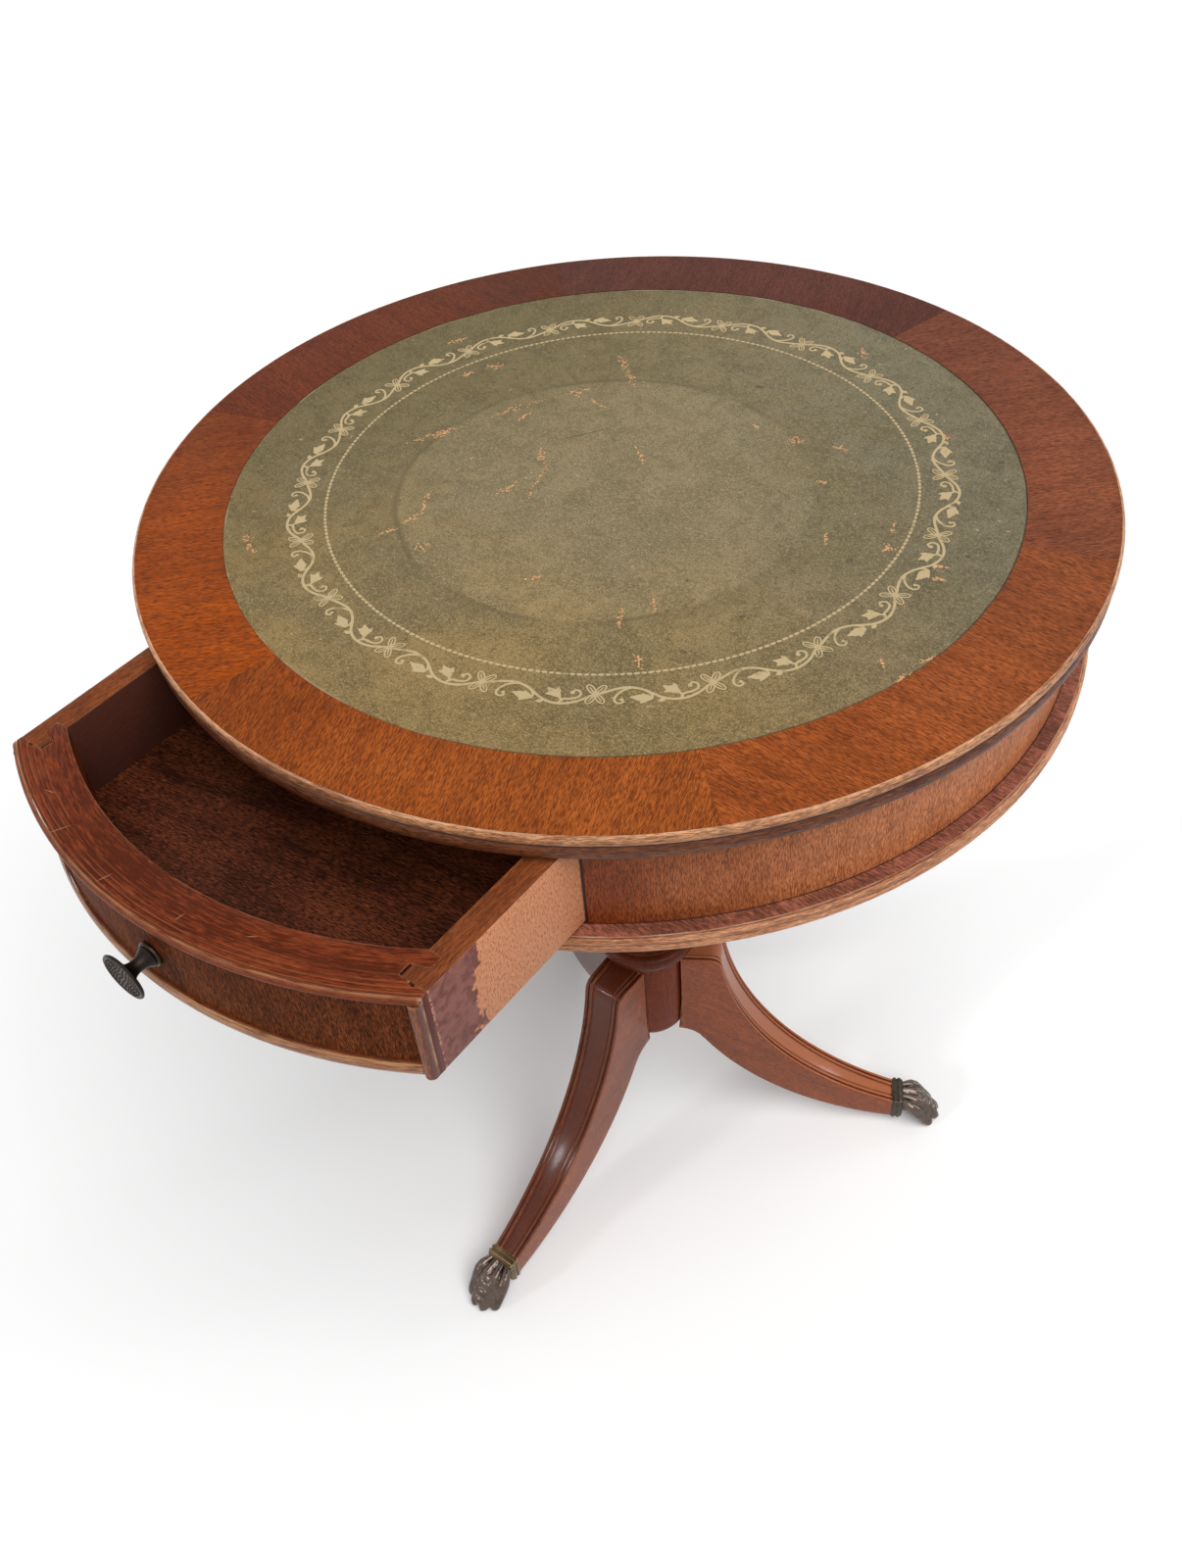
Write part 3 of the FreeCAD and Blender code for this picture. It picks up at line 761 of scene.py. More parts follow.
@dataclass(frozen=True)
class DrawerFrontTimber(Timber):
    """The drawer's front: reddish on top with lines and scratches, and raw end grain at its ends.

    Args:
        end_grain: The colour of the end grain.
        end_place: How far out the ends lie, in millimetres.
        lines: The radii of the lines that run along the bow.
        groove: The colour of the lines.
        glint: The colour beside the lines.
        scratches: The scratches on its upper face.
        scratched: The colour of the scratches.
    """

    end_grain: Colour = (0.105, 0.036, 0.034)
    end_place: float = 152.75
    lines: tuple[float, ...] = (284.9, 281.6, 278.7, 274.6)
    groove: Colour = (0.045, 0.011, 0.006)
    glint: Colour = (0.36, 0.120, 0.055)
    scratches: tuple[Scuff, ...] = (
        Scuff(-77.0, -389.0, 62.0, 9.0, 0.45), Scuff(-30.0, -397.0, 70.0, 6.0, 0.45),
        Scuff(-104.0, -374.0, 15.0, 5.0, 0.45), Scuff(22.0, -392.0, 80.0, 4.0, 0.45),
        Scuff(61.0, -380.0, 35.0, 4.0, 0.45))
    scratched: Colour = (0.52, 0.27, 0.15)

    def tint(self, place: Value, colour: Value) -> Value:
        """Draw the lines along the bow, scratch the top and darken the ends.

        Args:
            place: The place on the piece, in millimetres.
            colour: The wood's colour so far.

        Returns:
            The tinted colour.
        """
        radius = rolled(place, self.centre)["Radius"]
        faint = place.noise(0.03, 3.0).step(0.30, 0.55)
        for number, line in enumerate(self.lines):
            off = radius - line
            share = 0.42 - 0.06 * number
            light = abs(off + 1.0).step(0.6, 0.1) * faint
            dark = abs(off).step(0.75, 0.2)
            colour = colour.under((dark * share, self.groove), (light * share, self.glint))
        for scratch in self.scratches:
            colour = colour.under((scratch.mask(place) * 0.55, self.scratched))
        end = abs(place.part("X")).step(self.end_place - 0.2, self.end_place + 0.1)
        return colour.under((end, colour.under((0.75, self.end_grain))))


@dataclass(frozen=True)
class DrawerSideTimber(Timber):
    """A drawer side: pale and bare outside, with a ragged band of stain behind the front.

    Args:
        joint_place: Where the front's joint lies, along Y in millimetres.
        stain_reach: How far the stain runs back from there.
        stain: The colour of the stain.
        thin_stain: Its colour where it is thin.
        bare: The colour of the bare wood outside.
        streak: The colour of the bare wood's streaks.
        fleck: The colour of its pale flecks.
        glue: The colour of the glue that came out of the joint.
        inside: The colour inside the drawer, a painted shade.
        outer_face: How far out the outer face lies.
        inner_face: How far out the inner face lies.
    """

    joint_place: float = -355.9
    stain_reach: float = 31.0
    stain: Colour = (0.125, 0.041, 0.037)
    thin_stain: Colour = (0.34, 0.150, 0.130)
    bare: Colour = (0.72, 0.315, 0.165)
    streak: Colour = (0.40, 0.135, 0.060)
    fleck: Colour = (0.90, 0.44, 0.25)
    glue: Colour = (0.50, 0.24, 0.19)
    inside: Colour = (0.066, 0.022, 0.017)
    outer_face: float = 152.95
    inner_face: float = 137.1

    def tint(self, place: Value, colour: Value) -> Value:
        """Bleach the outer face, stain its front end and paint shade on the inner face.

        Args:
            place: The place on the piece, in millimetres.
            colour: The wood's colour so far.

        Returns:
            The tinted colour.
        """
        across, along = abs(place.part("X")), place.part("Y")
        speckle = (place * (1.0, 1.0, 0.30)).noise(1.15, 3.0)
        lean = (place.part("Z") - 660.0) * 0.12
        edge = along + place.wander(34.0, 0.085, 5.0, 0.6) - lean
        limit = self.joint_place + self.stain_reach
        band = edge.step(limit + 0.8, limit - 0.8)
        blotch = place.noise(0.12, 4.0, 1.0).step(0.34, 0.62)
        stained = place.graph.blend(blotch * 0.5, self.stain, self.thin_stain)
        joint = along.step(self.joint_place + 1.9, self.joint_place + 0.9)
        dots = place.noise(0.42, 1.0).step(0.42, 0.56)
        pale = colour.under((0.82, self.bare), (speckle.step(0.50, 0.66), self.streak),
                            (speckle.step(0.44, 0.28) * 0.5, self.fleck), (band * 0.92, stained),
                            (joint * dots, self.glue))
        outer = across.step(self.outer_face - 0.4, self.outer_face)
        inner = across.step(self.inner_face + 0.4, self.inner_face)
        # The inner face is painted dark as the shade inside the drawer.
        return colour.under((outer, pale), (inner * 0.86, self.inside))


@dataclass(frozen=True)
class LegTimber(Timber):
    """A leg: lighter and redder on its sides, with painted light and shade on its upper face in a colour of
    its own.
    """

    upper: Colour = (0.066, 0.014, 0.008)

    def tint(self, place: Value, colour: Value) -> Value:
        """Paint light and shade on the upper face.

        Args:
            place: The place on the piece, in millimetres.
            colour: The wood's colour so far.

        Returns:
            The tinted colour.
        """
        graph = place.graph
        turn = (0.0, 0.0, math.radians(-self.turn))
        facing = graph.add("TexCoord", {}, "Normal")
        own = graph.add("Mapping", {"Vector": facing, "Rotation": turn}, vector_type="NORMAL")
        upward = own.part("Z") + own.part("X") * 0.6
        # The upper face is picked out by its normal, and its colour is painted light and shade.
        face = abs(own.part("Y")).step(0.85, 0.55) * upward.step(0.1, 0.4)
        return colour.under((face * 0.76, self.upper))


@dataclass(frozen=True)
class ToolingWear(Finish):
    """Faded gilt of the tooled border, rubbed back to the leather in places."""

    gilt: Colour = (0.54, 0.41, 0.225)
    hide: Colour = (0.22, 0.175, 0.085)

    def paint(self, graph: Graph) -> dict[Label, Feed]:
        """Work out where the gilt is lost.

        Args:
            graph: The material's graph.

        Returns:
            What goes into the sockets of its Principled shader.
        """
        place = graph.place()
        rubbed = place.noise(0.11, 5.0, 0.3).step(0.56, 0.74) * 0.7
        broken = place.noise(0.9, 2.0).step(0.60, 0.78) * 0.5
        lost = rubbed.either(broken)
        return {"Base Color": graph.blend(lost, self.gilt, self.hide), "Roughness": lost * 0.15 + 0.55,
                "Specular IOR Level": 0.2}


@dataclass(frozen=True)
class Hide(Finish):
    """The green leather of the top, mottled, with a ring from a plate, scuffs and flecks.

    Args:
        name: The finish's name.
        green: Its main colour.
        bright: The colour of its brighter clouds.
        light: The colour of its light specks.
        dark: The colour of its dark specks.
        drifts: Painted light and shade: what the colour is multiplied by on one side each, and how far the
            place counts along X and Y.
        outside: What the colour is multiplied by outside the ring.
        rubbed: The colour of the flecks where the dye is lost.
        faded: The colour of the paler flecks.
        ring: The middle and the radius of the ring, in millimetres.
        edge: The radius of the leather.
        stains: The dark stains.
        ink: The colour of the stains.
        speck: The colour of the dark flecks.
        rim: The colour of its rubbed rim.
        seam: The colour of the gap beside the crossband.
    """

    green: Colour = (0.204, 0.160, 0.082)
    bright: Colour = (0.312, 0.242, 0.127)
    light: Colour = (0.410, 0.330, 0.190)
    dark: Colour = (0.110, 0.086, 0.038)
    drifts: tuple[tuple[Colour, Place], ...] = (
        ((0.82, 0.88, 1.04), (0.0030, 0.0029)), ((0.72, 0.71, 0.62), (-0.0042, 0.0010)),
        ((1.20, 1.05, 0.86), (0.0010, -0.0040)))
    outside: Colour = (0.90, 0.90, 0.86)
    rubbed: Colour = (0.56, 0.25, 0.085)
    faded: Colour = (0.56, 0.42, 0.22)
    ring: tuple[float, float, float] = (-1.9, -14.4, 130.2)
    edge: float = 248.7
    stains: tuple[Scuff, ...] = (
        Scuff(16.0, 138.1, 20, 6.075, 3.0), Scuff(163.6, 3.9, 60, 4.05, 3.3),
        Scuff(218.6, 43.2, 0, 2.97, 2.7), Scuff(191.9, 139.9, 30, 3.51, 2.4),
        Scuff(129.0, -114.8, 10, 4.05, 2.4), Scuff(139.3, -72.2, 40, 2.97, 2.1),
        Scuff(-49.4, 30.9, 56, 32.4, 1.05))
    ink: Colour = (0.045, 0.038, 0.028)
    speck: Colour = (0.05, 0.045, 0.03)
    rim: Colour = (0.42, 0.36, 0.22)
    seam: Colour = (0.035, 0.022, 0.012)

    def mottled(self, place: Value) -> Value:
        """The leather's colour: clouds, patches and specks, with painted light and shade drifting from side
        to side.

        Args:
            place: The place on the leather, in millimetres.

        Returns:
            The colour.
        """
        cloudy = place.noise(0.014, 4.0, 0.8)
        patch = place.noise(0.055, 6.0, 0.9).step(0.36, 0.66)
        fine = place.noise(0.42, 5.0, 0.5)
        speckle = place.noise(0.95, 3.0)
        colour = place.graph.blend(cloudy.step(0.34, 0.66) * 0.62, self.green, self.bright)
        colour = colour.under((patch * 0.52, self.dark), (fine.step(0.49, 0.70) * 0.75, self.bright),
                              (fine.step(0.48, 0.28) * 0.75, self.dark),
                              (speckle.step(0.52, 0.70) * 0.85, self.light),
                              (speckle.step(0.47, 0.30) * 0.85, self.dark))
        # Painted light and shade: darker towards the back and the left, lighter towards the front.
        for tone, (over_x, over_y) in self.drifts:
            reach = place.part("X") * over_x + place.part("Y") * over_y
            share = (reach + (cloudy - 0.5) * 1.3).step(0.05, 1.0)
            colour = colour.under((share, colour.toned(tone)))
        return colour

    def ringed(self, place: Value, colour: Value) -> Value:
        """Mark the ring that a plate left.

        Args:
            place: The place on the leather, in millimetres.
            colour: The colour so far.

        Returns:
            The marked colour.
        """
        x, y, radius = self.ring
        level = place * (1.0, 1.0, 0.0)
        off = (level - (x, y, 0.0)).length() - radius + place.wander(5.0, 0.03, 3.0)
        line = abs(off).step(3.0, 0.2) * (place.noise(0.013, 2.0).step(0.36, 0.62) * 0.62)
        outer = off.step(16.0, 2.0) * off.step(-1.0, 2.0)
        colour = colour.under((line, self.dark), (off.step(1.0, -12.0) * 0.10, self.bright),
                              (outer * 0.20, self.dark))
        return colour.under((off.step(-4.0, 14.0), colour.toned(self.outside)))

    def paint(self, graph: Graph) -> dict[Label, Feed]:
        """Work out the colour, then stains, flecks, the rim and the pebbled relief.

        Args:
            graph: The material's graph.

        Returns:
            What goes into the sockets of its Principled shader.
        """
        place = graph.place()
        colour = self.ringed(place, self.mottled(place))
        lost = place.noise(0.27, 3.0, 0.5).step(0.715, 0.755)
        tan = graph.blend(place.noise(0.03, 1.0).step(0.45, 0.6), self.rubbed, self.faded)
        stained = reduce(Value.either, (stain.mask(place) for stain in self.stains)) * 0.80
        spotted = (place.noise(0.30, 5.0, 0.7) * 0.62 + stained).step(0.70, 0.86)
        specks = (place + (71.0, 13.0, 0.0)).noise(0.21, 3.0, 0.5).step(0.72, 0.77)
        radius = (place * (1.0, 1.0, 0.0)).length()
        pale_rim = radius.step(self.edge - 1.1, self.edge - 0.3) * place.noise(0.035, 4.0).step(0.50, 0.62)
        seam = radius.step(self.edge - 0.9, self.edge - 0.1) * place.part("X").step(-60.0, 120.0)
        colour = colour.under((lost * 0.85, tan), (spotted * 0.55, self.ink), (specks * 0.5, self.speck),
                              (pale_rim * 0.55, self.rim), (seam * 0.8, self.seam))
        pebble = graph.add("TexVoronoi", {"Vector": place, "Scale": 0.85}, "Distance")
        creases = (place * (1.0, 0.45, 1.0)).noise(0.22, 4.0, 1.5)
        height = pebble * 0.35 + creases * 0.9 - lost * 0.5
        return {"Base Color": colour, "Roughness": 0.55, "Specular IOR Level": 0.18,
                "Normal": graph.bump(height, 0.45, 0.0004)}


@dataclass(frozen=True)
class AgedMetal(Finish):
    """Cast brass gone brown, rubbed bright on what stands proud.

    Args:
        name: The finish's name.
        body: The colour of the aged metal.
        high: The colour where it is rubbed.
        low: The colour in its hollows, partly patina and partly painted shade.
        rough: Its roughness.
        reach: How far in the rubbing reaches, in metres.
        pitting: How deep its cast skin is, in metres.
        rub: How strong the rubbing is.
    """

    body: Colour = (0.105, 0.078, 0.055)
    high: Colour = (0.42, 0.30, 0.17)
    low: Colour = (0.018, 0.014, 0.012)
    rough: float = 0.38
    reach: float = 0.002
    pitting: float = 0.00012
    rub: float = 0.8

    def paint(self, graph: Graph) -> dict[Label, Feed]:
        """Work out clouds, hollows and rubbed edges.

        Args:
            graph: The material's graph.

        Returns:
            What goes into the sockets of its Principled shader.
        """
        place = graph.place()
        cloud = place.noise(0.16, 4.0, 0.5)
        # The hollows are darkened by ambient occlusion: partly patina, partly painted shade.
        hollow = grime.use(graph, 2.5 * self.reach)["Mask"]
        proud = worn_arris.use(graph, place, self.reach)["Mask"]
        clouded = graph.blend(cloud.step(0.35, 0.7), self.body, graph.blend(0.35, self.body, self.low))
        colour = clouded.under((hollow, self.low), (proud * self.rub, self.high))
        return {"Base Color": colour, "Metallic": 0.85, "Roughness": cloud * 0.3 + (self.rough - 0.15),
                "Normal": graph.bump(place.noise(1.4, 3.0), 0.5, self.pitting)}


def meshed(shape: bmesh.types.BMesh, name: str) -> bpy.types.Mesh:
    """Turn a shape into a mesh.

    Args:
        shape: The shape. It is used up.
        name: The mesh's name.

    Returns:
        The mesh.
    """
    mesh = bpy.data.meshes.new(name)
    shape.to_mesh(mesh)
    shape.free()
    return mesh


def placed(name: str, data: bpy.types.ID) -> bpy.types.Object:
    """Put a mesh, a light or a camera in the scene.

    Args:
        name: The new object's name.
        data: What it holds.

    Returns:
        The new object.
    """
    thing = bpy.data.objects.new(name, data)
    bpy.context.scene.collection.objects.link(thing)
    return thing


@dataclass(frozen=True)
class Mesher:
    """Ways to build meshes with operators, and to turn them into pieces of the table.

    Args:
        smooth_angle: Up to which angle two faces look like one round face, in degrees.
        sharp_angle: From which angle an edge is sanded, in degrees.
        level_angle: Up to which angle two faces count as level, in degrees.
        weld: Up to which distance two points are made one, in metres.
    """

    smooth_angle: float = 34.0
    sharp_angle: float = 30.0
    level_angle: float = 0.6
    weld: float = 2e-6

    def lathe(self, outline: Sequence[Place], steps: int, ring: bool = False) -> bmesh.types.BMesh:
        """Turn an outline about Z.

        Args:
            outline: Points of radius and height, in millimetres, whose ends lie on the axis.
            steps: How many steps a full turn has.
            ring: Whether the outline closes on itself instead, clear of the axis.

        Returns:
            The turned shape, closed.
        """
        shape = bmesh.new()
        points = [shape.verts.new((radius * MM, 0.0, height * MM)) for radius, height in outline]
        edges = [shape.edges.new(pair) for pair in zip(points, points[1:])]
        if ring:
            edges.append(shape.edges.new((points[-1], points[0])))
        bmesh.ops.spin(shape, geom=points + edges, cent=(0.0, 0.0, 0.0), axis=(0.0, 0.0, 1.0),
                       angle=math.tau, steps=steps, use_merge=True)
        bmesh.ops.remove_doubles(shape, verts=shape.verts, dist=self.weld)
        bmesh.ops.recalc_face_normals(shape, faces=shape.faces)
        return shape

    def loft(self, rings: Sequence[Sequence[Vector]]) -> bmesh.types.BMesh:
        """Draw a closed ring of points along through further rings, and close both ends.

        Args:
            rings: Rings with as many points each.

        Returns:
            The lofted shape.
        """
        shape = bmesh.new()
        points = [shape.verts.new(point) for point in rings[0]]
        edges = [shape.edges.new(pair) for pair in zip(points, points[1:] + points[:1])]
        bmesh.ops.contextual_create(shape, geom=edges)
        for ring in rings[1:]:
            grown = bmesh.ops.extrude_edge_only(shape, edges=edges)["geom"]
            moved = {tuple(item.co): item for item in grown if isinstance(item, bmesh.types.BMVert)}
            points = [moved[tuple(point.co)] for point in points]
            for point, place in zip(points, ring):
                point.co = place
            edges = [shape.edges.get(pair) for pair in zip(points, points[1:] + points[:1])]
        bmesh.ops.contextual_create(shape, geom=edges)
        bmesh.ops.recalc_face_normals(shape, faces=shape.faces)
        return shape

    def eased(self, node: bpy.types.Object, width: float) -> bmesh.types.BMesh:
        """Copy a part and round its sharp edges, as sanding does.

        Args:
            node: The part's object.
            width: How wide the rounding is, in metres.

        Returns:
            The eased copy.
        """
        shape = bmesh.new()
        shape.from_mesh(node.data)
        bmesh.ops.remove_doubles(shape, verts=shape.verts, dist=self.weld)
        bmesh.ops.dissolve_limit(shape, angle_limit=math.radians(self.level_angle),
                                 verts=shape.verts, edges=shape.edges)
        limit = math.radians(self.sharp_angle)
        sharp = [edge for edge in shape.edges if edge.is_manifold and edge.calc_face_angle(0.0) > limit]
        bmesh.ops.bevel(shape, geom=sharp, offset=width, offset_type="OFFSET", segments=2, profile=0.5,
                        affect="EDGES", material=-1, clamp_overlap=True)
        bmesh.ops.recalc_face_normals(shape, faces=shape.faces)
        return shape

    def piece(self, shape: bmesh.types.BMesh, name: str, body: str, material: bpy.types.Material,
              replaces: Iterable[str] = (), flat: bool = False) -> bpy.types.Object:
        """Turn a shape into a piece that rides on a body.

        Args:
            shape: The shape, in place. It is used up.
            name: The piece's name.
            body: The body that it rides on.
            material: Its material.
            replaces: The parts that it stands for.
            flat: Whether its faces stay flat.

        Returns:
            The piece.
        """
        mesh = meshed(shape, name)
        if not flat:
            mesh.polygons.foreach_set("use_smooth", [True] * len(mesh.polygons))
            mesh.set_sharp_from_angle(angle=math.radians(self.smooth_angle))
        mesh.materials.append(material)
        thing = placed(name, mesh)
        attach(thing, body)
        parts = tuple(replaces)
        if parts:
            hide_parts(*parts)
        LOG.info("%s: %d faces on %s", name, len(mesh.polygons), body)
        return thing


MESHER = Mesher()


def dress(finish: Finish, *nodes: str) -> None:
    """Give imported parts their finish.

    Args:
        finish: The finish.
        nodes: The names of the parts.
    """
    material = finish.build()
    for node in nodes:
        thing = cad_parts[node]
        if thing.material_slots:
            for slot in thing.material_slots:
                slot.material = material
        else:
            thing.data.materials.append(material)
        LOG.info("%s: dressed in %s", node, finish.name)


def smooth_path(points: Sequence[Place], steps: int) -> list[Place]:
    """Round a path of plan points off into a smooth one.

    Args:
        points: The points that it goes through.
        steps: How many stretches lie between two of them.

    Returns:
        The points of the smooth path.
    """
    ends = [points[0], *points, points[-1]]
    path: list[Place] = []
    for stretch in zip(ends, ends[1:], ends[2:], ends[3:]):
        for number in range(steps):
            t = number / steps
            path.append(tuple(0.5 * (2 * q + (r - p) * t + (2 * p - 5 * q + 4 * r - s) * t**2
                                     + (3 * q - p - 3 * r + s) * t**3) for p, q, r, s in zip(*stretch)))
    path.append(points[-1])
    return path


class SubAssembly(ABC):
    """A group of pieces that are made together."""

    @abstractmethod
    def build(self) -> None:
        """Make the pieces and dress the parts of the group."""


@dataclass
class TableTop(SubAssembly):
    """The top: crossbanding in six veneers, the reeded edge, the leather and the board below."""

    segment_turns: tuple[float, ...] = (-70.0, -4.0, 44.0, 107.0, 168.0, 224.0)
    # Each veneer's colours and drift are partly its own tone and partly painted light and shade: lighter at
    # the front, darker at the back.
    pales: tuple[Colour, ...] = (
        (0.490, 0.123, 0.020), (0.475, 0.119, 0.026), (0.365, 0.098, 0.037),
        (0.190, 0.054, 0.029), (0.230, 0.055, 0.016), (0.510, 0.116, 0.015))
    darks: tuple[Colour, ...] = (
        (0.265, 0.061, 0.010), (0.255, 0.060, 0.013), (0.190, 0.048, 0.019),
        (0.100, 0.028, 0.015), (0.120, 0.027, 0.009), (0.275, 0.057, 0.007))
    tones: tuple[tuple[Colour, Colour], ...] = (
        ((0.86, 0.78, 0.68), (1.00, 1.02, 1.10)), ((1.08, 1.05, 0.97), (0.82, 0.90, 1.28)),
        ((0.98, 1.08, 1.20), (0.73, 0.79, 0.98)), ((0.75, 0.74, 0.87), (0.98, 0.84, 0.80)),
        ((0.72, 0.67, 0.70), (0.92, 0.78, 0.70)), ((0.62, 0.59, 0.72), (0.98, 0.86, 0.52)))
    inner_radius: float = 249.2
    veneer_radius: float = 302.9
    face: float = 713.0
    veneer_low: float = 711.62
    first_turn: float = -104.0
    share_turn: float = 60.0
    seam_turn: float = 0.01
    veneer_steps: int = 30
    edge_steps: int = 180
    edge: tuple[Place, ...] = (
        (297.2, 711.5), (297.2, 696.2), (303.1, 696.1), (303.6, 696.6), (304.1, 698.0), (304.3, 700.0),
        (304.1, 702.2), (303.5, 703.9), (302.6, 704.7), (301.8, 704.9), (302.4, 705.2), (303.5, 705.6),
        (304.3, 706.6), (304.8, 708.0), (304.95, 709.4), (304.8, 711.0), (304.3, 712.3), (303.6, 712.85),
        (302.95, 712.95), (302.95, 711.5))

    def veneer(self, start: float) -> bmesh.types.BMesh:
        """Bend one crossband veneer.

        Args:
            start: Where it begins, in degrees about Z from X.

        Returns:
            The veneer's shape.
        """
        corners = ((self.inner_radius, self.veneer_low), (self.veneer_radius, self.veneer_low),
                   (self.veneer_radius, self.face), (self.inner_radius, self.face))
        sweep = self.share_turn - 2 * self.seam_turn
        rings = []
        for step in range(self.veneer_steps + 1):
            angle = math.radians(start + self.seam_turn + sweep * step / self.veneer_steps)
            rings.append([Vector((radius * math.cos(angle), radius * math.sin(angle), height)) * MM
                          for radius, height in corners])
        return MESHER.loft(rings)

    def build(self) -> None:
        """Lay the crossbanding, turn the edge and dress the rest."""
        laid = zip(self.segment_turns, self.pales, self.darks, self.tones)
        for number, (turn, pale, dark, tones) in enumerate(laid):
            start = self.first_turn + self.share_turn * number
            joint = (start + 270.0) % 360.0 - 180.0
            name = f"crossband_{number + 1}"
            finish = VeneerTimber(name.replace("_", " "), pale=pale, dark=dark, pore=(0.050, 0.012, 0.005),
                                  run=Run.WIDTH, turn=turn, figure=0.62, pores=0.62, gloss=0.42, shine=0.06,
                                  joints=(joint, joint + self.share_turn), tones=tones)
            MESHER.piece(self.veneer(start), f"{name}_laid", "table", finish.build(),
                         (name,))
        edge = EdgeTimber("rubbed edge", pale=(0.70, 0.330, 0.155), dark=(0.30, 0.100, 0.038), run=Run.ROUND,
                          figure=1.3, pores=0.60, shine=0.25, wear=0.55, worn=(0.84, 0.53, 0.33),
                          reach=0.0016, dirt=0.9, dirt_reach=0.0035)
        ring = MESHER.lathe(self.edge, self.edge_steps, ring=True)
        MESHER.piece(ring, "top_edge_reeded", "table", edge.build(), ("top_edge_moulding",))
        dress(Hide("green leather"), "leather_inset")
        board = Timber("top board", pale=(0.25, 0.13, 0.065), dark=(0.16, 0.075, 0.038), run=Run.WIDTH,
                       gloss=0.6)
        dress(board, "top_board")


@dataclass
class LeatherWear(SubAssembly):
    """Places where the dye is rubbed off the leather: rows of thin flakes of its bare tan."""

    level: float = 712.71
    lift: float = 0.003
    lifts: int = 60
    depth: float = 0.02
    fullness: float = 1.45
    scuffs: tuple[Scuff, ...] = (
        Scuff(-109.3, 31.9, 63, 20.4, 2), Scuff(-86.2, 69.3, 52, 8.4, 3.4),
        Scuff(-135.7, -22.5, 62, 22.5, 1.8), Scuff(-131.2, -19.8, 78, 6.4, 3.2),
        Scuff(-98.3, 25.6, 84, 6.1, 1.6), Scuff(-56, -7.5, -43, 13.2, 1.5),
        Scuff(-41.3, -32.1, -70, 19.2, 1.3), Scuff(-54.3, -46.7, 76, 12.3, 1.8),
        Scuff(-87.9, -85.9, -59, 12.6, 1.2), Scuff(-83.8, -101.8, 77, 8.1, 1.2),
        Scuff(-58.6, -121.1, 66, 5.1, 2.6), Scuff(-87, -120.7, 62, 6.6, 1.6),
        Scuff(-151.4, -177.4, -28, 10.7, 2.2), Scuff(-205.7, 79.2, 64, 9.2, 2.2),
        Scuff(-167.3, 47.9, 79, 5, 2.4), Scuff(-158.6, 65.4, 45, 7.1, 2.6),
        Scuff(-81.7, 114.5, -38, 13, 2.4), Scuff(-65.5, 64.2, -9, 7.3, 1),
        Scuff(17.3, -108.5, 52, 5.6, 1.4), Scuff(-65.2, 101.4, -39, 11.1, 1.8),
        Scuff(53.4, 211.8, -54, 8.2, 2), Scuff(71.1, 95, 23, 5.6, 2.8), Scuff(99.5, 101.8, 3, 5, 1.5),
        Scuff(149.6, 147.8, -33, 2.8, 1.4), Scuff(109.4, 63.7, 1, 3.8, 1.3),
        Scuff(140.8, 14.7, -59, 5.8, 1), Scuff(176.8, 27.3, -16, 4.7, 2.4),
        Scuff(169.1, 44.6, -69, 5.5, 1.1), Scuff(214.5, 15.7, 33, 3.7, 1.7),
        Scuff(210.6, 27.2, 15, 4.6, 0.9), Scuff(82.6, -110.7, -57, 9.3, 1.3),
        Scuff(92.5, -90.9, -51, 6.8, 1.2), Scuff(113.6, -134.6, -31, 6.9, 1.5),
        Scuff(223.2, -65.1, -54, 3.9, 1), Scuff(238.4, -68.7, 73, 5.7, 1.5),
        Scuff(242.2, -49.4, 67, 5.1, 1.3), Scuff(-4.9, 29.2, -40, 12.2, 0.9),
        Scuff(40.4, 95.3, -22, 3.7, 1.1))

    def flake(self, shape: bmesh.types.BMesh, chance: random.Random, scuff: Scuff, bend: float,
              count: int) -> None:
        """Drop one flake near the line of a scuff.

        Args:
            shape: The shape that it is added to.
            chance: Where the random numbers come from.
            scuff: The scuff.
            bend: How far the scuff is bent, in millimetres.
            count: How many flakes there are so far.
        """
        turn = math.radians(scuff.turn)
        along = Vector((math.cos(turn), math.sin(turn), 0.0))
        across = Vector((-along.y, along.x, 0.0))
        share = chance.uniform(-1.0, 1.0)
        taper = 1.0 - 0.6 * abs(share)
        offset = chance.gauss(0.0, 0.85) * scuff.width * taper + bend * share * share
        place = Vector((scuff.x, scuff.y, self.level + self.lift * (count % self.lifts)))
        place = place + along * (share * scuff.length) + across * offset
        made = bmesh.ops.create_circle(shape, cap_ends=True, segments=7, radius=MM)["verts"]
        for point in made:
            point.co *= chance.uniform(0.6, 1.15)
        sizes = (chance.uniform(0.25, 1.15) * taper + 0.2, chance.uniform(0.25, 0.75) * taper + 0.15, 1.0)
        bmesh.ops.scale(shape, verts=made, vec=sizes)
        spin = Matrix.Rotation(turn + chance.gauss(0.0, 0.50), 3, "Z")
        bmesh.ops.rotate(shape, verts=made, matrix=spin)
        bmesh.ops.translate(shape, verts=made, vec=place * MM)

    def build(self) -> None:
        """Scatter the flakes along the scuffs."""
        chance = random.Random(7)
        shape = bmesh.new()
        count = 0
        for scuff in self.scuffs:
            bend = chance.uniform(-0.10, 0.10) * scuff.length
            for _ in range(int(self.fullness * (5 + 0.9 * scuff.length + 3.4 * scuff.width))):
                self.flake(shape, chance, scuff, bend, count)
                count += 1
        bmesh.ops.recalc_face_normals(shape, faces=shape.faces)
        bmesh.ops.reverse_faces(shape, faces=[face for face in shape.faces if face.normal.z < 0])
        bmesh.ops.solidify(shape, geom=list(shape.faces), thickness=self.depth * MM)
        finish = ToolingWear("bare hide", gilt=(0.72, 0.37, 0.18), hide=(0.50, 0.31, 0.135))
        MESHER.piece(shape, "leather_scuffs", "table", finish.build(), flat=True)


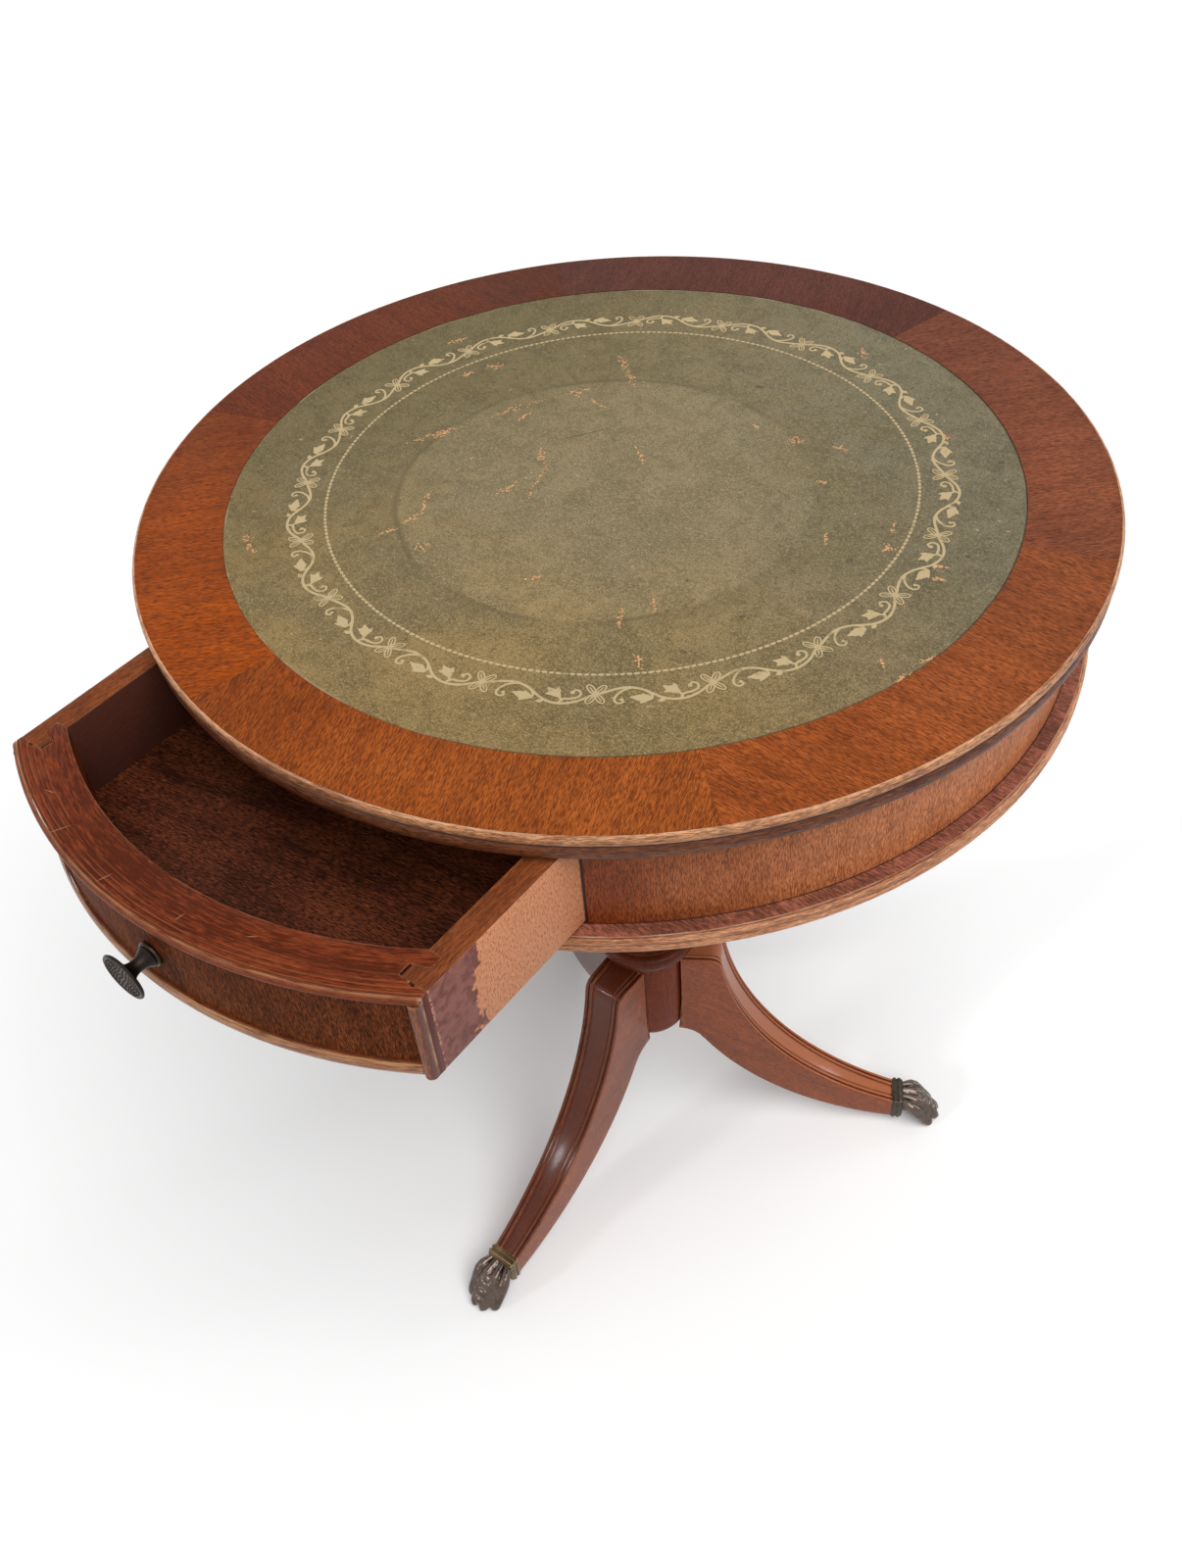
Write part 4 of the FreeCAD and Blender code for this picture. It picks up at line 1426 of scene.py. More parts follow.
@dataclass
class TooledBorder(SubAssembly):
    """The border tooled into the leather: a scrolling vine with bows, and a beaded line inside it."""

    middle_radius: float = 201.3
    bead_radius: float = 185.6
    repeats: int = 20
    bead_cells: int = 60
    first_turn: float = -93.0
    level: float = 712.72
    lift: float = 0.008
    depth: float = 0.06
    bead_half_width: float = 0.95
    boldness: float = 1.22
    petal_steps: int = 16
    empty_face: float = 1e-12
    beads: tuple[tuple[float, float, float], ...] = (
        (2.0, 1.80, 4.0), (5.9, 1.55, -5.0), (9.7, 1.85, 2.0), (13.6, 1.50, 7.0), (17.4, 1.75, -3.0))
    stem: tuple[Place, ...] = (
        (1.6, 0.3), (4.4, 1.3), (11.0, 3.9), (18.0, 4.9), (25.0, 2.7), (30.4, -1.2), (34.6, -4.8),
        (40.2, -7.4), (47.2, -7.9), (54.2, -5.6), (59.7, -2.0), (61.8, -0.7))
    curls: tuple[tuple[Place, ...], ...] = (
        ((20.5, 4.6), (15.5, 3.0), (11.4, -1.0), (10.2, -5.0), (12.2, -7.5), (14.9, -6.4), (13.8, -4.6)),
        ((44.8, -7.4), (46.6, -4.4), (50.6, -3.9), (54.6, -2.2), (55.4, 1.3), (52.6, 3.1), (50.9, 1.2)),
        ((46.4, -5.6), (44.8, -3.6), (43.6, -2.2)),
        ((28.6, 0.2), (30.2, -3.0), (29.6, -5.4)))
    leaves: tuple[tuple[Place, Place, float], ...] = (
        ((30.4, -5.4), (18.6, -3.0), 2.5), ((27.6, -4.2), (23.4, -8.4), 1.5),
        ((26.4, -4.6), (25.4, -0.9), 1.3),
        ((36.6, -6.9), (32.4, -7.8), 1.2), ((45.0, -2.8), (36.6, 3.6), 2.3), ((43.0, -0.8), (42.8, 4.6), 1.4),
        ((41.8, 0.2), (36.4, -1.4), 1.4), ((13.2, -4.0), (15.0, -5.2), 1.0), ((50.0, 0.1), (52.2, 1.7), 1.2))
    petals: tuple[tuple[Place, float], ...] = (
        ((-4.4, 7.2), 1.9), ((5.4, 6.6), 2.0), ((-4.2, -7.4), 1.9), ((4.6, -7.2), 1.8))
    strokes: int = 0

    def on_border(self, place: Place) -> Vector:
        """Where a point of the first repeat lies on the leather.

        Args:
            place: Its distance along the border and inwards from its middle, in millimetres.

        Returns:
            The point, in metres.
        """
        angle = math.radians(self.first_turn) + place[0] / self.middle_radius
        radius = (self.middle_radius - place[1]) * MM
        height = (self.level + self.lift * self.strokes) * MM
        return Vector((radius * math.cos(angle), radius * math.sin(angle), height))

    def stroke(self, shape: bmesh.types.BMesh, path: Sequence[Place], widths: Sequence[float]) -> None:
        """Draw a flat stroke along a path.

        Args:
            shape: The shape that it is added to.
            path: Its points on the border.
            widths: Its width at each point, in millimetres.
        """
        self.strokes += 1
        spots = [self.on_border(place) for place in path]
        pair: list[bmesh.types.BMVert] = []
        for index, (spot, width) in enumerate(zip(spots, widths)):
            ahead = spots[min(index + 1, len(spots) - 1)] - spots[max(index - 1, 0)]
            side = Vector((-ahead.y, ahead.x, 0.0)).normalized() * (self.boldness * width * MM / 2)
            if not pair:
                pair = [shape.verts.new(spot + side), shape.verts.new(spot - side)]
                edge = shape.edges.new(pair)
                continue
            grown = bmesh.ops.extrude_edge_only(shape, edges=[edge])["geom"]
            fresh = {tuple(item.co): item for item in grown if isinstance(item, bmesh.types.BMVert)}
            pair = [fresh[tuple(point.co)] for point in pair]
            pair[0].co = spot + side
            pair[1].co = spot - side
            edge = shape.edges.get(pair)

    def leaf(self, shape: bmesh.types.BMesh, root: Place, tip: Place, half_width: float) -> None:
        """Draw a filled leaf from its root to its tip.

        Args:
            shape: The shape that it is added to.
            root: Where it grows from.
            tip: Where it points to.
            half_width: Half its width, in millimetres.
        """
        shares = (0.0, 0.12, 0.3, 0.5, 0.7, 0.87, 1.0)
        path = [tuple(Vector(root).lerp(Vector(tip), share)) for share in shares]
        bulge = [max(0.16, math.sin(math.pi * share**0.8)) * 2 * half_width for share in shares]
        self.stroke(shape, path, bulge)

    def petal(self, shape: bmesh.types.BMesh, tip: Place, half_width: float) -> None:
        """Draw the outline and the vein of one petal of a bow.

        Args:
            shape: The shape that it is added to.
            tip: Where it points to.
            half_width: Half its width, in millimetres.
        """
        length = math.hypot(*tip)
        along = (tip[0] / length, tip[1] / length)
        across = (-along[1], along[0])
        outline: list[Place] = []
        for number in range(self.petal_steps + 1):
            turn = math.tau * number / self.petal_steps
            reach = length * (0.5 - 0.5 * math.cos(turn))
            swell = half_width * math.sin(turn) * (0.75 + 0.35 * reach / length)
            outline.append((along[0] * reach + across[0] * swell, along[1] * reach + across[1] * swell))
        self.stroke(shape, outline, [0.75] * len(outline))
        vein = [(along[0] * length * share, along[1] * length * share) for share in (0.1, 0.5, 0.8)]
        self.stroke(shape, vein, [0.9, 0.7, 0.4])

    def raised(self, shape: bmesh.types.BMesh) -> None:
        """Give flat marks a thin body, so that they are closed.

        Args:
            shape: The flat marks.
        """
        for face in list(shape.faces):
            if face.calc_area() < self.empty_face:
                shape.faces.remove(face)
        bmesh.ops.recalc_face_normals(shape, faces=shape.faces)
        bmesh.ops.reverse_faces(shape, faces=[face for face in shape.faces if face.normal.z < 0])
        bmesh.ops.solidify(shape, geom=list(shape.faces), thickness=self.depth * MM)

    def repeated(self, shape: bmesh.types.BMesh, count: int) -> None:
        """Repeat marks all the way round the leather.

        Args:
            shape: The marks of one repeat.
            count: How many repeats a full turn has.
        """
        items = list(shape.verts) + list(shape.edges) + list(shape.faces)
        bmesh.ops.spin(shape, geom=items, cent=(0.0, 0.0, 0.0), axis=(0.0, 0.0, 1.0),
                       angle=math.tau * (count - 1) / count, steps=count - 1, use_duplicate=True)

    def build(self) -> None:
        """Make the vine and the beaded line."""
        gilt = ToolingWear("faded gilt").build()
        vine = bmesh.new()
        stem = smooth_path(self.stem, 3)
        self.stroke(vine, stem, [1.35] * len(stem))
        for curl in self.curls:
            path = smooth_path(curl, 3)
            self.stroke(vine, path, [1.25 - 0.25 * index / len(path) for index in range(len(path))])
        for root, tip, half_width in self.leaves:
            self.leaf(vine, root, tip, half_width)
        for tip, half_width in self.petals:
            self.petal(vine, tip, half_width)
        self.raised(vine)
        self.repeated(vine, self.repeats)
        MESHER.piece(vine, "tooled_vine", "table", gilt, flat=True)

        beads = bmesh.new()
        for place, half_length, tilt in self.beads:
            made = bmesh.ops.create_circle(beads, cap_ends=True, segments=8, radius=MM)["verts"]
            angle = math.radians(self.first_turn) + place / self.bead_radius
            bmesh.ops.scale(beads, verts=made, vec=(half_length, self.bead_half_width, 1.0))
            bmesh.ops.rotate(beads, verts=made, matrix=Matrix.Rotation(math.radians(tilt), 3, "Z"))
            bmesh.ops.translate(beads, verts=made, vec=(0.0, -self.bead_radius * MM, self.level * MM))
            bmesh.ops.rotate(beads, verts=made, matrix=Matrix.Rotation(angle + math.pi / 2, 3, "Z"))
        self.raised(beads)
        self.repeated(beads, self.bead_cells)
        MESHER.piece(beads, "tooled_beads", "table", gilt, flat=True)


@dataclass
class Drum(SubAssembly):
    """The drum below the top: frieze veneer, stiles, base and the frame inside."""

    inner_parts: tuple[str, ...] = (
        "frieze_rear", "frieze_right", "frieze_left", "base_board", "drawer_guide_right", "drawer_guide_left",
        "kicker_right", "kicker_left", "stop_rail", "drawer_stops", "top_glue_blocks", "base_glue_blocks")

    def build(self) -> None:
        """Dress the drum's parts."""
        frieze = FriezeTimber("frieze veneer", pale=(0.500, 0.148, 0.038), dark=(0.290, 0.070, 0.016),
                              pore=(0.07, 0.018, 0.007), figure=0.55, pores=0.65, gloss=0.40, shine=0.14)
        dress(frieze, "frieze_veneer")
        stile = Timber("stile", pale=(0.12, 0.034, 0.015), dark=(0.06, 0.018, 0.009))
        dress(stile, "opening_stile_right", "opening_stile_left")
        # The bead's bright pale and rubbed colours are partly wear and partly a painted highlight.
        base = BaseTimber("base moulding", pale=(0.74, 0.350, 0.185), dark=(0.38, 0.145, 0.062),
                          run=Run.ROUND, figure=0.9, pores=0.45, shine=0.25, wear=0.85,
                          worn=(0.90, 0.62, 0.44), reach=0.0016, dirt=0.8, dirt_reach=0.002)
        dress(base, "base_moulding")
        carcass = Timber("carcass wood", pale=(0.21, 0.10, 0.05), dark=(0.12, 0.055, 0.028), run=Run.WIDTH,
                         gloss=0.62)
        dress(carcass, *self.inner_parts)


@dataclass
class Drawer(SubAssembly):
    """The drawer, with its bowed front, keyed sides, beads and dark floor."""

    centre: Place = (0.0, -118.3)
    easing: float = 0.45 * MM

    def build(self) -> None:
        """Ease the drawer's edges and dress its parts."""
        top = DrawerFrontTimber("drawer front", pale=(0.235, 0.047, 0.014), dark=(0.098, 0.017, 0.005),
                                pore=(0.03, 0.008, 0.004), run=Run.ROUND, centre=self.centre, figure=1.2,
                                pores=0.35, gloss=0.36, shine=0.06, wear=0.6, reach=0.0014)
        front = MESHER.eased(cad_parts["drawer_front"], self.easing)
        MESHER.piece(front, "drawer_front_eased", "drawer", top.build(), ("drawer_front",))
        veneer = Timber("drawer veneer", pale=(0.245, 0.068, 0.022), dark=(0.084, 0.021, 0.007),
                        pore=(0.020, 0.006, 0.003), figure=0.60, pores=0.75, gloss=0.60, shine=0.02,
                        dirt=0.6, dirt_reach=0.005)
        dress(veneer, "drawer_front_veneer")
        lip = DrawerFrontTimber("drawer lip", pale=(0.235, 0.054, 0.018), dark=(0.12, 0.026, 0.009),
                                run=Run.ROUND, centre=self.centre, pores=0.4, gloss=0.34, shine=0.1, wear=0.9,
                                reach=0.0018, worn=(0.66, 0.33, 0.17), scratches=())
        dress(lip, "cock_bead_top")
        bead = DrawerFrontTimber("drawer bead", pale=(0.40, 0.120, 0.036), dark=(0.18, 0.044, 0.014),
                                 run=Run.ROUND, centre=self.centre, gloss=0.34, shine=0.25, wear=0.6,
                                 reach=0.0024, scratches=())
        dress(bead, "cock_bead_bottom")
        upright = DrawerFrontTimber("upright bead", pale=(0.38, 0.115, 0.036), dark=(0.17, 0.042, 0.014),
                                    gloss=0.34, shine=0.2, wear=0.5, reach=0.0020, scratches=(),
                                    end_place=152.2)
        for side in ("right", "left"):
            dress(upright, f"cock_bead_{side}")
            wood = DrawerSideTimber(f"drawer side {side}", pale=(0.32, 0.086, 0.023),
                                    dark=(0.16, 0.038, 0.010), run=Run.DEPTH, figure=0.7, pores=0.5,
                                    gloss=0.5, wear=0.8, worn=(0.72, 0.40, 0.24), reach=0.0010)
            shape = MESHER.eased(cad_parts[f"drawer_side_{side}"], self.easing)
            MESHER.piece(shape, f"drawer_side_{side}_eased", "drawer", wood.build(),
                         (f"drawer_side_{side}",))
        floor = Timber("drawer floor", pale=(0.175, 0.043, 0.016), dark=(0.034, 0.007, 0.003),
                       pore=(0.010, 0.003, 0.001), run=Run.WIDTH, turn=8.0, figure=0.9, pores=0.9, gloss=0.5)
        dress(floor, "drawer_bottom")
        back = Timber("drawer back", pale=(0.15, 0.05, 0.022), dark=(0.08, 0.024, 0.011), run=Run.WIDTH,
                      gloss=0.5)
        dress(back, "drawer_back")


@dataclass
class Knob(SubAssembly):
    """The brass knob: a rose with a raised rim, a waisted neck and a thin stippled disc."""

    level: float = 659.0
    seat: float = 284.25
    pull: float = 118.3
    rose: tuple[Place, ...] = (
        (0.0, 0.15), (6.6, 0.15), (7.3, 0.3), (7.8, 0.9), (7.8, 2.0), (7.4, 2.6), (6.7, 2.9), (6.2, 2.75),
        (0.0, 2.75))
    neck: tuple[Place, ...] = (
        (0.0, 2.8), (6.5, 2.8), (6.7, 3.5), (6.0, 4.6), (5.0, 6.2), (4.2, 8.2), (3.8, 10.4), (3.9, 12.4),
        (4.5, 14.4), (5.6, 15.9), (7.2, 16.9), (9.6, 17.4), (12.2, 17.7), (13.8, 18.1), (14.45, 18.7),
        (14.5, 19.3), (14.1, 19.9), (13.5, 20.1), (12.9, 20.0), (12.5, 19.7), (0.0, 19.7))
    rings: tuple[tuple[float, int], ...] = (
        (11.6, 34), (9.9, 28), (8.2, 22), (6.3, 16), (4.3, 10), (2.3, 5), (0.0, 1))
    dot: float = 0.62
    rose_steps: int = 64
    neck_steps: int = 72

    def facing_front(self, shape: bmesh.types.BMesh) -> None:
        """Lay a shape that was turned about Z so that Z points out of the drawer's front.

        Args:
            shape: The turned shape.
        """
        bmesh.ops.rotate(shape, verts=shape.verts, matrix=Matrix.Rotation(math.pi / 2, 3, "X"))
        place = Vector((0.0, -(self.seat + self.pull) * MM, self.level * MM))
        bmesh.ops.translate(shape, verts=shape.verts, vec=place)

    def build(self) -> None:
        """Make the rose, the knob and its stippled face, and dress what holds it."""
        brass = AgedMetal("dark brass", body=(0.036, 0.023, 0.014), high=(0.24, 0.14, 0.075), rough=0.36,
                          reach=0.0008, rub=0.5)
        rose = MESHER.lathe(self.rose, self.rose_steps)
        self.facing_front(rose)
        MESHER.piece(rose, "knob_rose_turned", "drawer", brass.build(), ("knob_rose",))
        knob = MESHER.lathe(self.neck, self.neck_steps)
        face = self.neck[-1][1]
        for radius, count in self.rings:
            for number in range(count):
                turn = math.tau * number / count
                spot = Vector((radius * math.cos(turn), radius * math.sin(turn), face)) * MM
                bmesh.ops.create_icosphere(knob, subdivisions=1, radius=self.dot * MM,
                                           matrix=Matrix.Translation(spot))
        self.facing_front(knob)
        disc = AgedMetal("dark disc brass", body=(0.020, 0.013, 0.009), high=(0.20, 0.12, 0.07), rough=0.42,
                         reach=0.0005, rub=0.22)
        MESHER.piece(knob, "knob_turned", "drawer", disc.build(), ("knob",))
        steel = AgedMetal("dull steel", body=(0.30, 0.29, 0.28), high=(0.5, 0.49, 0.48), rough=0.5, rub=0.4)
        dress(steel, "knob_bolt", "knob_washer", "knob_nut", "drawer_bottom_screws", "block_screws",
              "leg_plate", "leg_plate_screws", "cap_pins")


@dataclass
class Pedestal(SubAssembly):
    """The block below the drum, the turned column, its ring and the hub."""

    easing: float = 0.8 * MM

    def build(self) -> None:
        """Dress the pedestal's parts."""
        turned = Timber("turned mahogany", pale=(0.150, 0.030, 0.012), dark=(0.070, 0.014, 0.006),
                        figure=0.7, pores=0.45, gloss=0.20, shine=0.10, wear=0.4, reach=0.002, dirt=0.5)
        dress(turned, "column", "column_ring", "mounting_block")
        hub = Timber("hub", pale=(0.250, 0.050, 0.016), dark=(0.135, 0.024, 0.008), figure=0.7, pores=0.4,
                     gloss=0.28, shine=0.12)
        shape = MESHER.eased(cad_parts["hub"], self.easing)
        MESHER.piece(shape, "hub_eased", "table", hub.build(), ("hub",))


@dataclass
class Leg(SubAssembly):
    """One sabre leg, reeded along both edges of its upper face.

    Args:
        name: Which leg it is.
        turn: Which way it points, in degrees.
        upper: The colour painted on its upper face as its light and shade.
        side: The colour of its sides, painted darker as shade on the left leg.
    """

    name: str
    turn: float
    upper: Colour
    side: Colour
    inner: float = 31.0
    knee: Place = (65.0, 241.0)
    knee_rounding: float = 12.0
    knee_steps: int = 8
    toe: Place = (226.0, 34.5)
    top_bow: float = 37.5
    low_knee: Place = (42.0, 141.0)
    low_rounding: float = 26.0
    low_steps: int = 6
    low_toe: Place = (226.0, 10.5)
    low_bow: float = 28.5
    hub_radius: float = 33.0
    widths: Place = (38.0, 25.5)
    hollow: float = 0.55
    sections: int = 72
    reed: tuple[Place, ...] = (
        (0.0, 1.3), (0.12, 0.62), (0.45, 0.16), (1.0, 0.0), (1.6, 0.06), (2.2, 0.45), (2.6, 1.2), (3.0, 2.0),
        (3.9, 2.0), (4.3, 1.2), (4.7, 0.5), (5.3, 0.1), (5.9, 0.1), (6.5, 0.5), (6.9, 1.3), (7.3, 1.9),
        (8.3, 1.9), (9.2, 1.0))
    sides: tuple[float, ...] = (0.08, 0.3, 0.55, 0.8, 0.965)
    arris: tuple[Place, ...] = ((0.15, 0.5), (0.7, 0.12), (1.6, 0.0))

    @staticmethod
    def bowed(start: Place, end: Place, bow: float, steps: int = 40) -> list[Place]:
        """An arc between two points, bowed to the right of its way.

        Args:
            start: Where it starts, as reach and height in millimetres.
            end: Where it ends.
            bow: How far its middle lies off the straight line.
            steps: How many stretches it has.

        Returns:
            The points of the arc.
        """
        a, b = Vector(start), Vector(end)
        chord = b - a
        side = Vector((chord.y, -chord.x)).normalized()
        radius = chord.length_squared / (8 * bow) + bow / 2
        centre = (a + b) / 2 + side * (bow - radius)
        first = (a - centre).angle_signed(b - centre)
        swings = (Matrix.Rotation(-first * number / steps, 2) for number in range(steps + 1))
        return [tuple(centre + swing @ (a - centre)) for swing in swings]

    @staticmethod
    def rounded(path: Sequence[Place], corner: int, radius: float, steps: int) -> list[Place]:
        """Round one corner of a path.

        Args:
            path: The path.
            corner: The corner's index.
            radius: The radius of the rounding, in millimetres.
            steps: How many stretches the rounding has.

        Returns:
            The rounded path.
        """
        here = Vector(path[corner])
        back = (Vector(path[corner - 1]) - here).normalized()
        ahead = (Vector(path[corner + 1]) - here).normalized()
        reach = radius / math.tan(back.angle(ahead) / 2)
        start, end = here + back * reach, here + ahead * reach
        curve = []
        for number in range(steps + 1):
            t = number / steps
            curve.append(tuple(start * (1 - t) ** 2 + here * 2 * t * (1 - t) + end * t**2))
        kept = [point for point in path[corner + 1:] if (Vector(point) - here).length > reach * 1.02]
        return [*path[:corner], *curve, *kept]

    @staticmethod
    def evenly(path: Sequence[Place], count: int) -> list[Vector]:
        """Spread points evenly along a path.

        Args:
            path: The path.
            count: How many points are wanted.

        Returns:
            The points.
        """
        points = [Vector(point) for point in path]
        marks = [0.0]
        for a, b in zip(points, points[1:]):
            marks.append(marks[-1] + (b - a).length)
        spread = []
        for number in range(count):
            wanted = marks[-1] * number / (count - 1)
            index = max(i for i, mark in enumerate(marks[:-1]) if mark <= wanted + 1e-9)
            share = (wanted - marks[index]) / (marks[index + 1] - marks[index])
            spread.append(points[index].lerp(points[index + 1], min(share, 1.0)))
        return spread

    @staticmethod
    def upward(path: Sequence[Vector], index: int) -> Vector:
        """Which way is up, square to a path.

        Args:
            path: The path, as reach and height.
            index: Which of its points is meant.

        Returns:
            The direction.
        """
        ahead = path[min(index + 1, len(path) - 1)] - path[max(index - 1, 0)]
        side = Vector((ahead.y, -ahead.x)).normalized()
        return side if side.y > 0 else -side

    def rings(self) -> list[list[Vector]]:
        """The outlines of the leg's sections, from the hub to the cap.

        Returns:
            Rings of points, in metres, for a leg that points along X.
        """
        top = [(self.inner, self.knee[1]), *self.bowed(self.knee, self.toe, self.top_bow)]
        top = self.rounded(top, 1, self.knee_rounding, self.knee_steps)
        low = [(self.inner, self.low_knee[1]), *self.bowed(self.low_knee, self.low_toe, self.low_bow)]
        low = self.rounded(low, 1, self.low_rounding, self.low_steps)
        uppers, lowers = self.evenly(top, self.sections), self.evenly(low, self.sections)
        rings = []
        for index, (upper, lower) in enumerate(zip(uppers, lowers)):
            inward, outward = -self.upward(uppers, index), self.upward(lowers, index)
            half, low_half = self.half_width(upper.x), self.half_width(lower.x)
            edge = [(half - across, upper + inward * depth) for across, depth in self.reed]
            face = [*edge, (0.0, upper + inward * self.hollow),
                    *[(-across, spot) for across, spot in reversed(edge)]]
            down = [(half + (low_half - half) * share, upper.lerp(lower, share)) for share in self.sides]
            down += [(low_half - across, lower + outward * depth) for across, depth in self.arris]
            run = [*face, *[(-across, spot) for across, spot in down], *reversed(down)]
            rings.append([Vector((spot.x * MM, across * MM, spot.y * MM)) for across, spot in run])
        return rings

    def half_width(self, reach: float) -> float:
        """Half the leg's width at a distance from the column's axis.

        Args:
            reach: The distance, in millimetres.

        Returns:
            Half the width there.
        """
        share = (reach - self.hub_radius) / (self.toe[0] - self.hub_radius)
        return (self.widths[0] + share * (self.widths[1] - self.widths[0])) / 2

    def build(self) -> None:
        """Make the leg."""
        shape = MESHER.loft(self.rings())
        bmesh.ops.rotate(shape, verts=shape.verts, matrix=Matrix.Rotation(math.radians(self.turn), 3, "Z"))
        wood = LegTimber(f"leg {self.name}", pale=self.side, dark=tuple(0.5 * part for part in self.side),
                         pore=(0.08, 0.018, 0.008), turn=self.turn, tilt=125.0, figure=0.6, pores=0.6,
                         gloss=0.17, shine=0.18, coat=0.12, wear=0.85, worn=(0.50, 0.20, 0.085), reach=0.0018,
                         dirt=0.9, dirt_reach=0.0030, upper=self.upper)
        node = f"leg_{self.name}"
        MESHER.piece(shape, f"{node}_reeded", "table", wood.build(), (node,))


@dataclass
class PawCap(SubAssembly):
    """One cast cap: a ridged collar, and a lion's paw with four toes.

    Args:
        name: Which leg it is on.
        turn: Which way it points, in degrees.
        metal: The paw's material.
        band: The collar's material.
    """

    name: str
    turn: float
    metal: bpy.types.Material
    band: bpy.types.Material
    start: float = 226.0
    collar_low: float = 9.8
    collar_high: float = 35.2
    collar_half: float = 13.45
    collar: tuple[Place, ...] = (
        (0.05, -0.5), (0.2, 0.0), (1.0, 0.0), (1.25, 0.45), (1.9, 0.7), (2.9, 0.7), (3.5, 0.45), (3.75, 0.0),
        (5.3, 0.0), (5.6, 0.45), (6.2, 0.7), (7.4, 0.7), (8.0, 0.4), (8.3, -0.1), (9.6, -0.2), (10.6, -1.6))
    corner: float = 1.6
    corner_steps: int = 4
    trunk: tuple[tuple[float, float, float, float], ...] = (
        (9.0, 21.4, 11.4, 11.2), (14.0, 20.8, 11.2, 11.4), (19.0, 19.2, 12.0, 12.6), (24.0, 17.2, 12.8, 13.8),
        (29.0, 14.4, 12.6, 13.8), (34.0, 11.0, 10.2, 12.4), (38.0, 8.4, 7.4, 10.0))
    toes: tuple[Place, ...] = ((-13.2, 0.86), (-4.7, 1.0), (4.7, 1.0), (13.2, 0.86))
    toe_path: tuple[tuple[float, float, float, float], ...] = (
        (8.5, 0.66, 31.0, 2.6), (13.0, 0.74, 30.4, 2.9), (17.5, 0.86, 29.4, 3.5), (21.5, 0.96, 27.4, 4.6),
        (25.5, 1.00, 23.8, 5.5), (29.5, 1.00, 19.2, 5.6), (33.5, 0.98, 14.6, 5.4), (37.0, 0.96, 10.8, 5.4),
        (40.0, 0.94, 7.4, 5.3), (41.2, 0.94, 5.6, 4.9))
    claw: tuple[tuple[float, float, float, float], ...] = (
        (43.0, 0.94, 5.0, 3.2), (44.9, 0.94, 3.8, 1.9))
    trunk_reach: float = 6.5
    stages: int = 3
    smoothings: int = 3
    voxel: float = 0.55 * MM
    sole: float = 0.05

    def collar_ring(self, along: float, proud: float) -> list[Vector]:
        """A rounded square section of the collar.

        Args:
            along: How far it lies from the leg's end, in millimetres.
            proud: How far it stands out.

        Returns:
            The section's points, in metres.
        """
        middle = (self.collar_low + self.collar_high) / 2
        half_high = (self.collar_high - self.collar_low) / 2 + proud - self.corner
        half_wide = self.collar_half + proud - self.corner
        ring = []
        for quarter, (side, rise) in enumerate(((1, 1), (-1, 1), (-1, -1), (1, -1))):
            for step in range(self.corner_steps + 1):
                turn = math.radians(90.0 * (quarter + step / self.corner_steps))
                across = side * half_wide + self.corner * math.cos(turn)
                height = middle + rise * half_high + self.corner * math.sin(turn)
                ring.append(Vector((self.start + along, across, height)) * MM)
        return ring

    def ball(self, shape: bmesh.types.BMesh, place: tuple[float, float, float],
             sizes: tuple[float, float, float]) -> None:
        """Add an egg to the lump that the paw is cast from.

        Args:
            shape: The lump.
            place: How far out, across and above the floor it lies, in millimetres.
            sizes: Its half sizes.
        """
        swell = Matrix.Diagonal((*(size * MM for size in sizes), 1.0))
        where = Matrix.Translation(Vector(place) * MM)
        bmesh.ops.create_icosphere(shape, subdivisions=3, radius=1.0, matrix=where @ swell)

    def lump(self) -> bpy.types.Mesh:
        """Heap up the eggs that the paw is cast from.

        Returns:
            The lump, along X.
        """
        shape = bmesh.new()
        for along, height, rise, spread in self.trunk:
            self.ball(shape, (self.start + along, 0.0, height), (self.trunk_reach, spread, rise))
        for across, share in self.toes:
            path = [*self.toe_path, *self.claw]
            for first, second in zip(path, path[1:]):
                for step in range(self.stages):
                    along, spread, height, radius = (a + (b - a) * step / self.stages
                                                     for a, b in zip(first, second))
                    self.ball(shape, (self.start + along * share, across * spread, height), (radius,) * 3)
        return meshed(shape, "paw lump")

    def paw(self) -> bmesh.types.BMesh:
        """Cast the paw in one skin.

        Returns:
            The paw, along X.
        """
        mesh = self.lump()
        thing = placed("paw lump", mesh)
        skin = thing.modifiers.new("skin", "REMESH")
        skin.mode = "VOXEL"
        skin.voxel_size = self.voxel
        ready = thing.evaluated_get(bpy.context.evaluated_depsgraph_get())
        paw = bmesh.new()
        paw.from_mesh(ready.to_mesh())
        ready.to_mesh_clear()
        bpy.data.objects.remove(thing)
        bpy.data.meshes.remove(mesh)
        for _ in range(self.smoothings):
            bmesh.ops.smooth_vert(paw, verts=paw.verts, factor=0.5, use_axis_x=True, use_axis_y=True,
                                  use_axis_z=True)
        cut = bmesh.ops.bisect_plane(paw, geom=list(paw.verts) + list(paw.edges) + list(paw.faces),
                                     plane_co=(0.0, 0.0, self.sole * MM), plane_no=(0.0, 0.0, 1.0),
                                     clear_inner=True)
        rim = [item for item in cut["geom_cut"] if isinstance(item, bmesh.types.BMEdge)]
        bmesh.ops.holes_fill(paw, edges=rim)
        bmesh.ops.recalc_face_normals(paw, faces=paw.faces)
        return paw

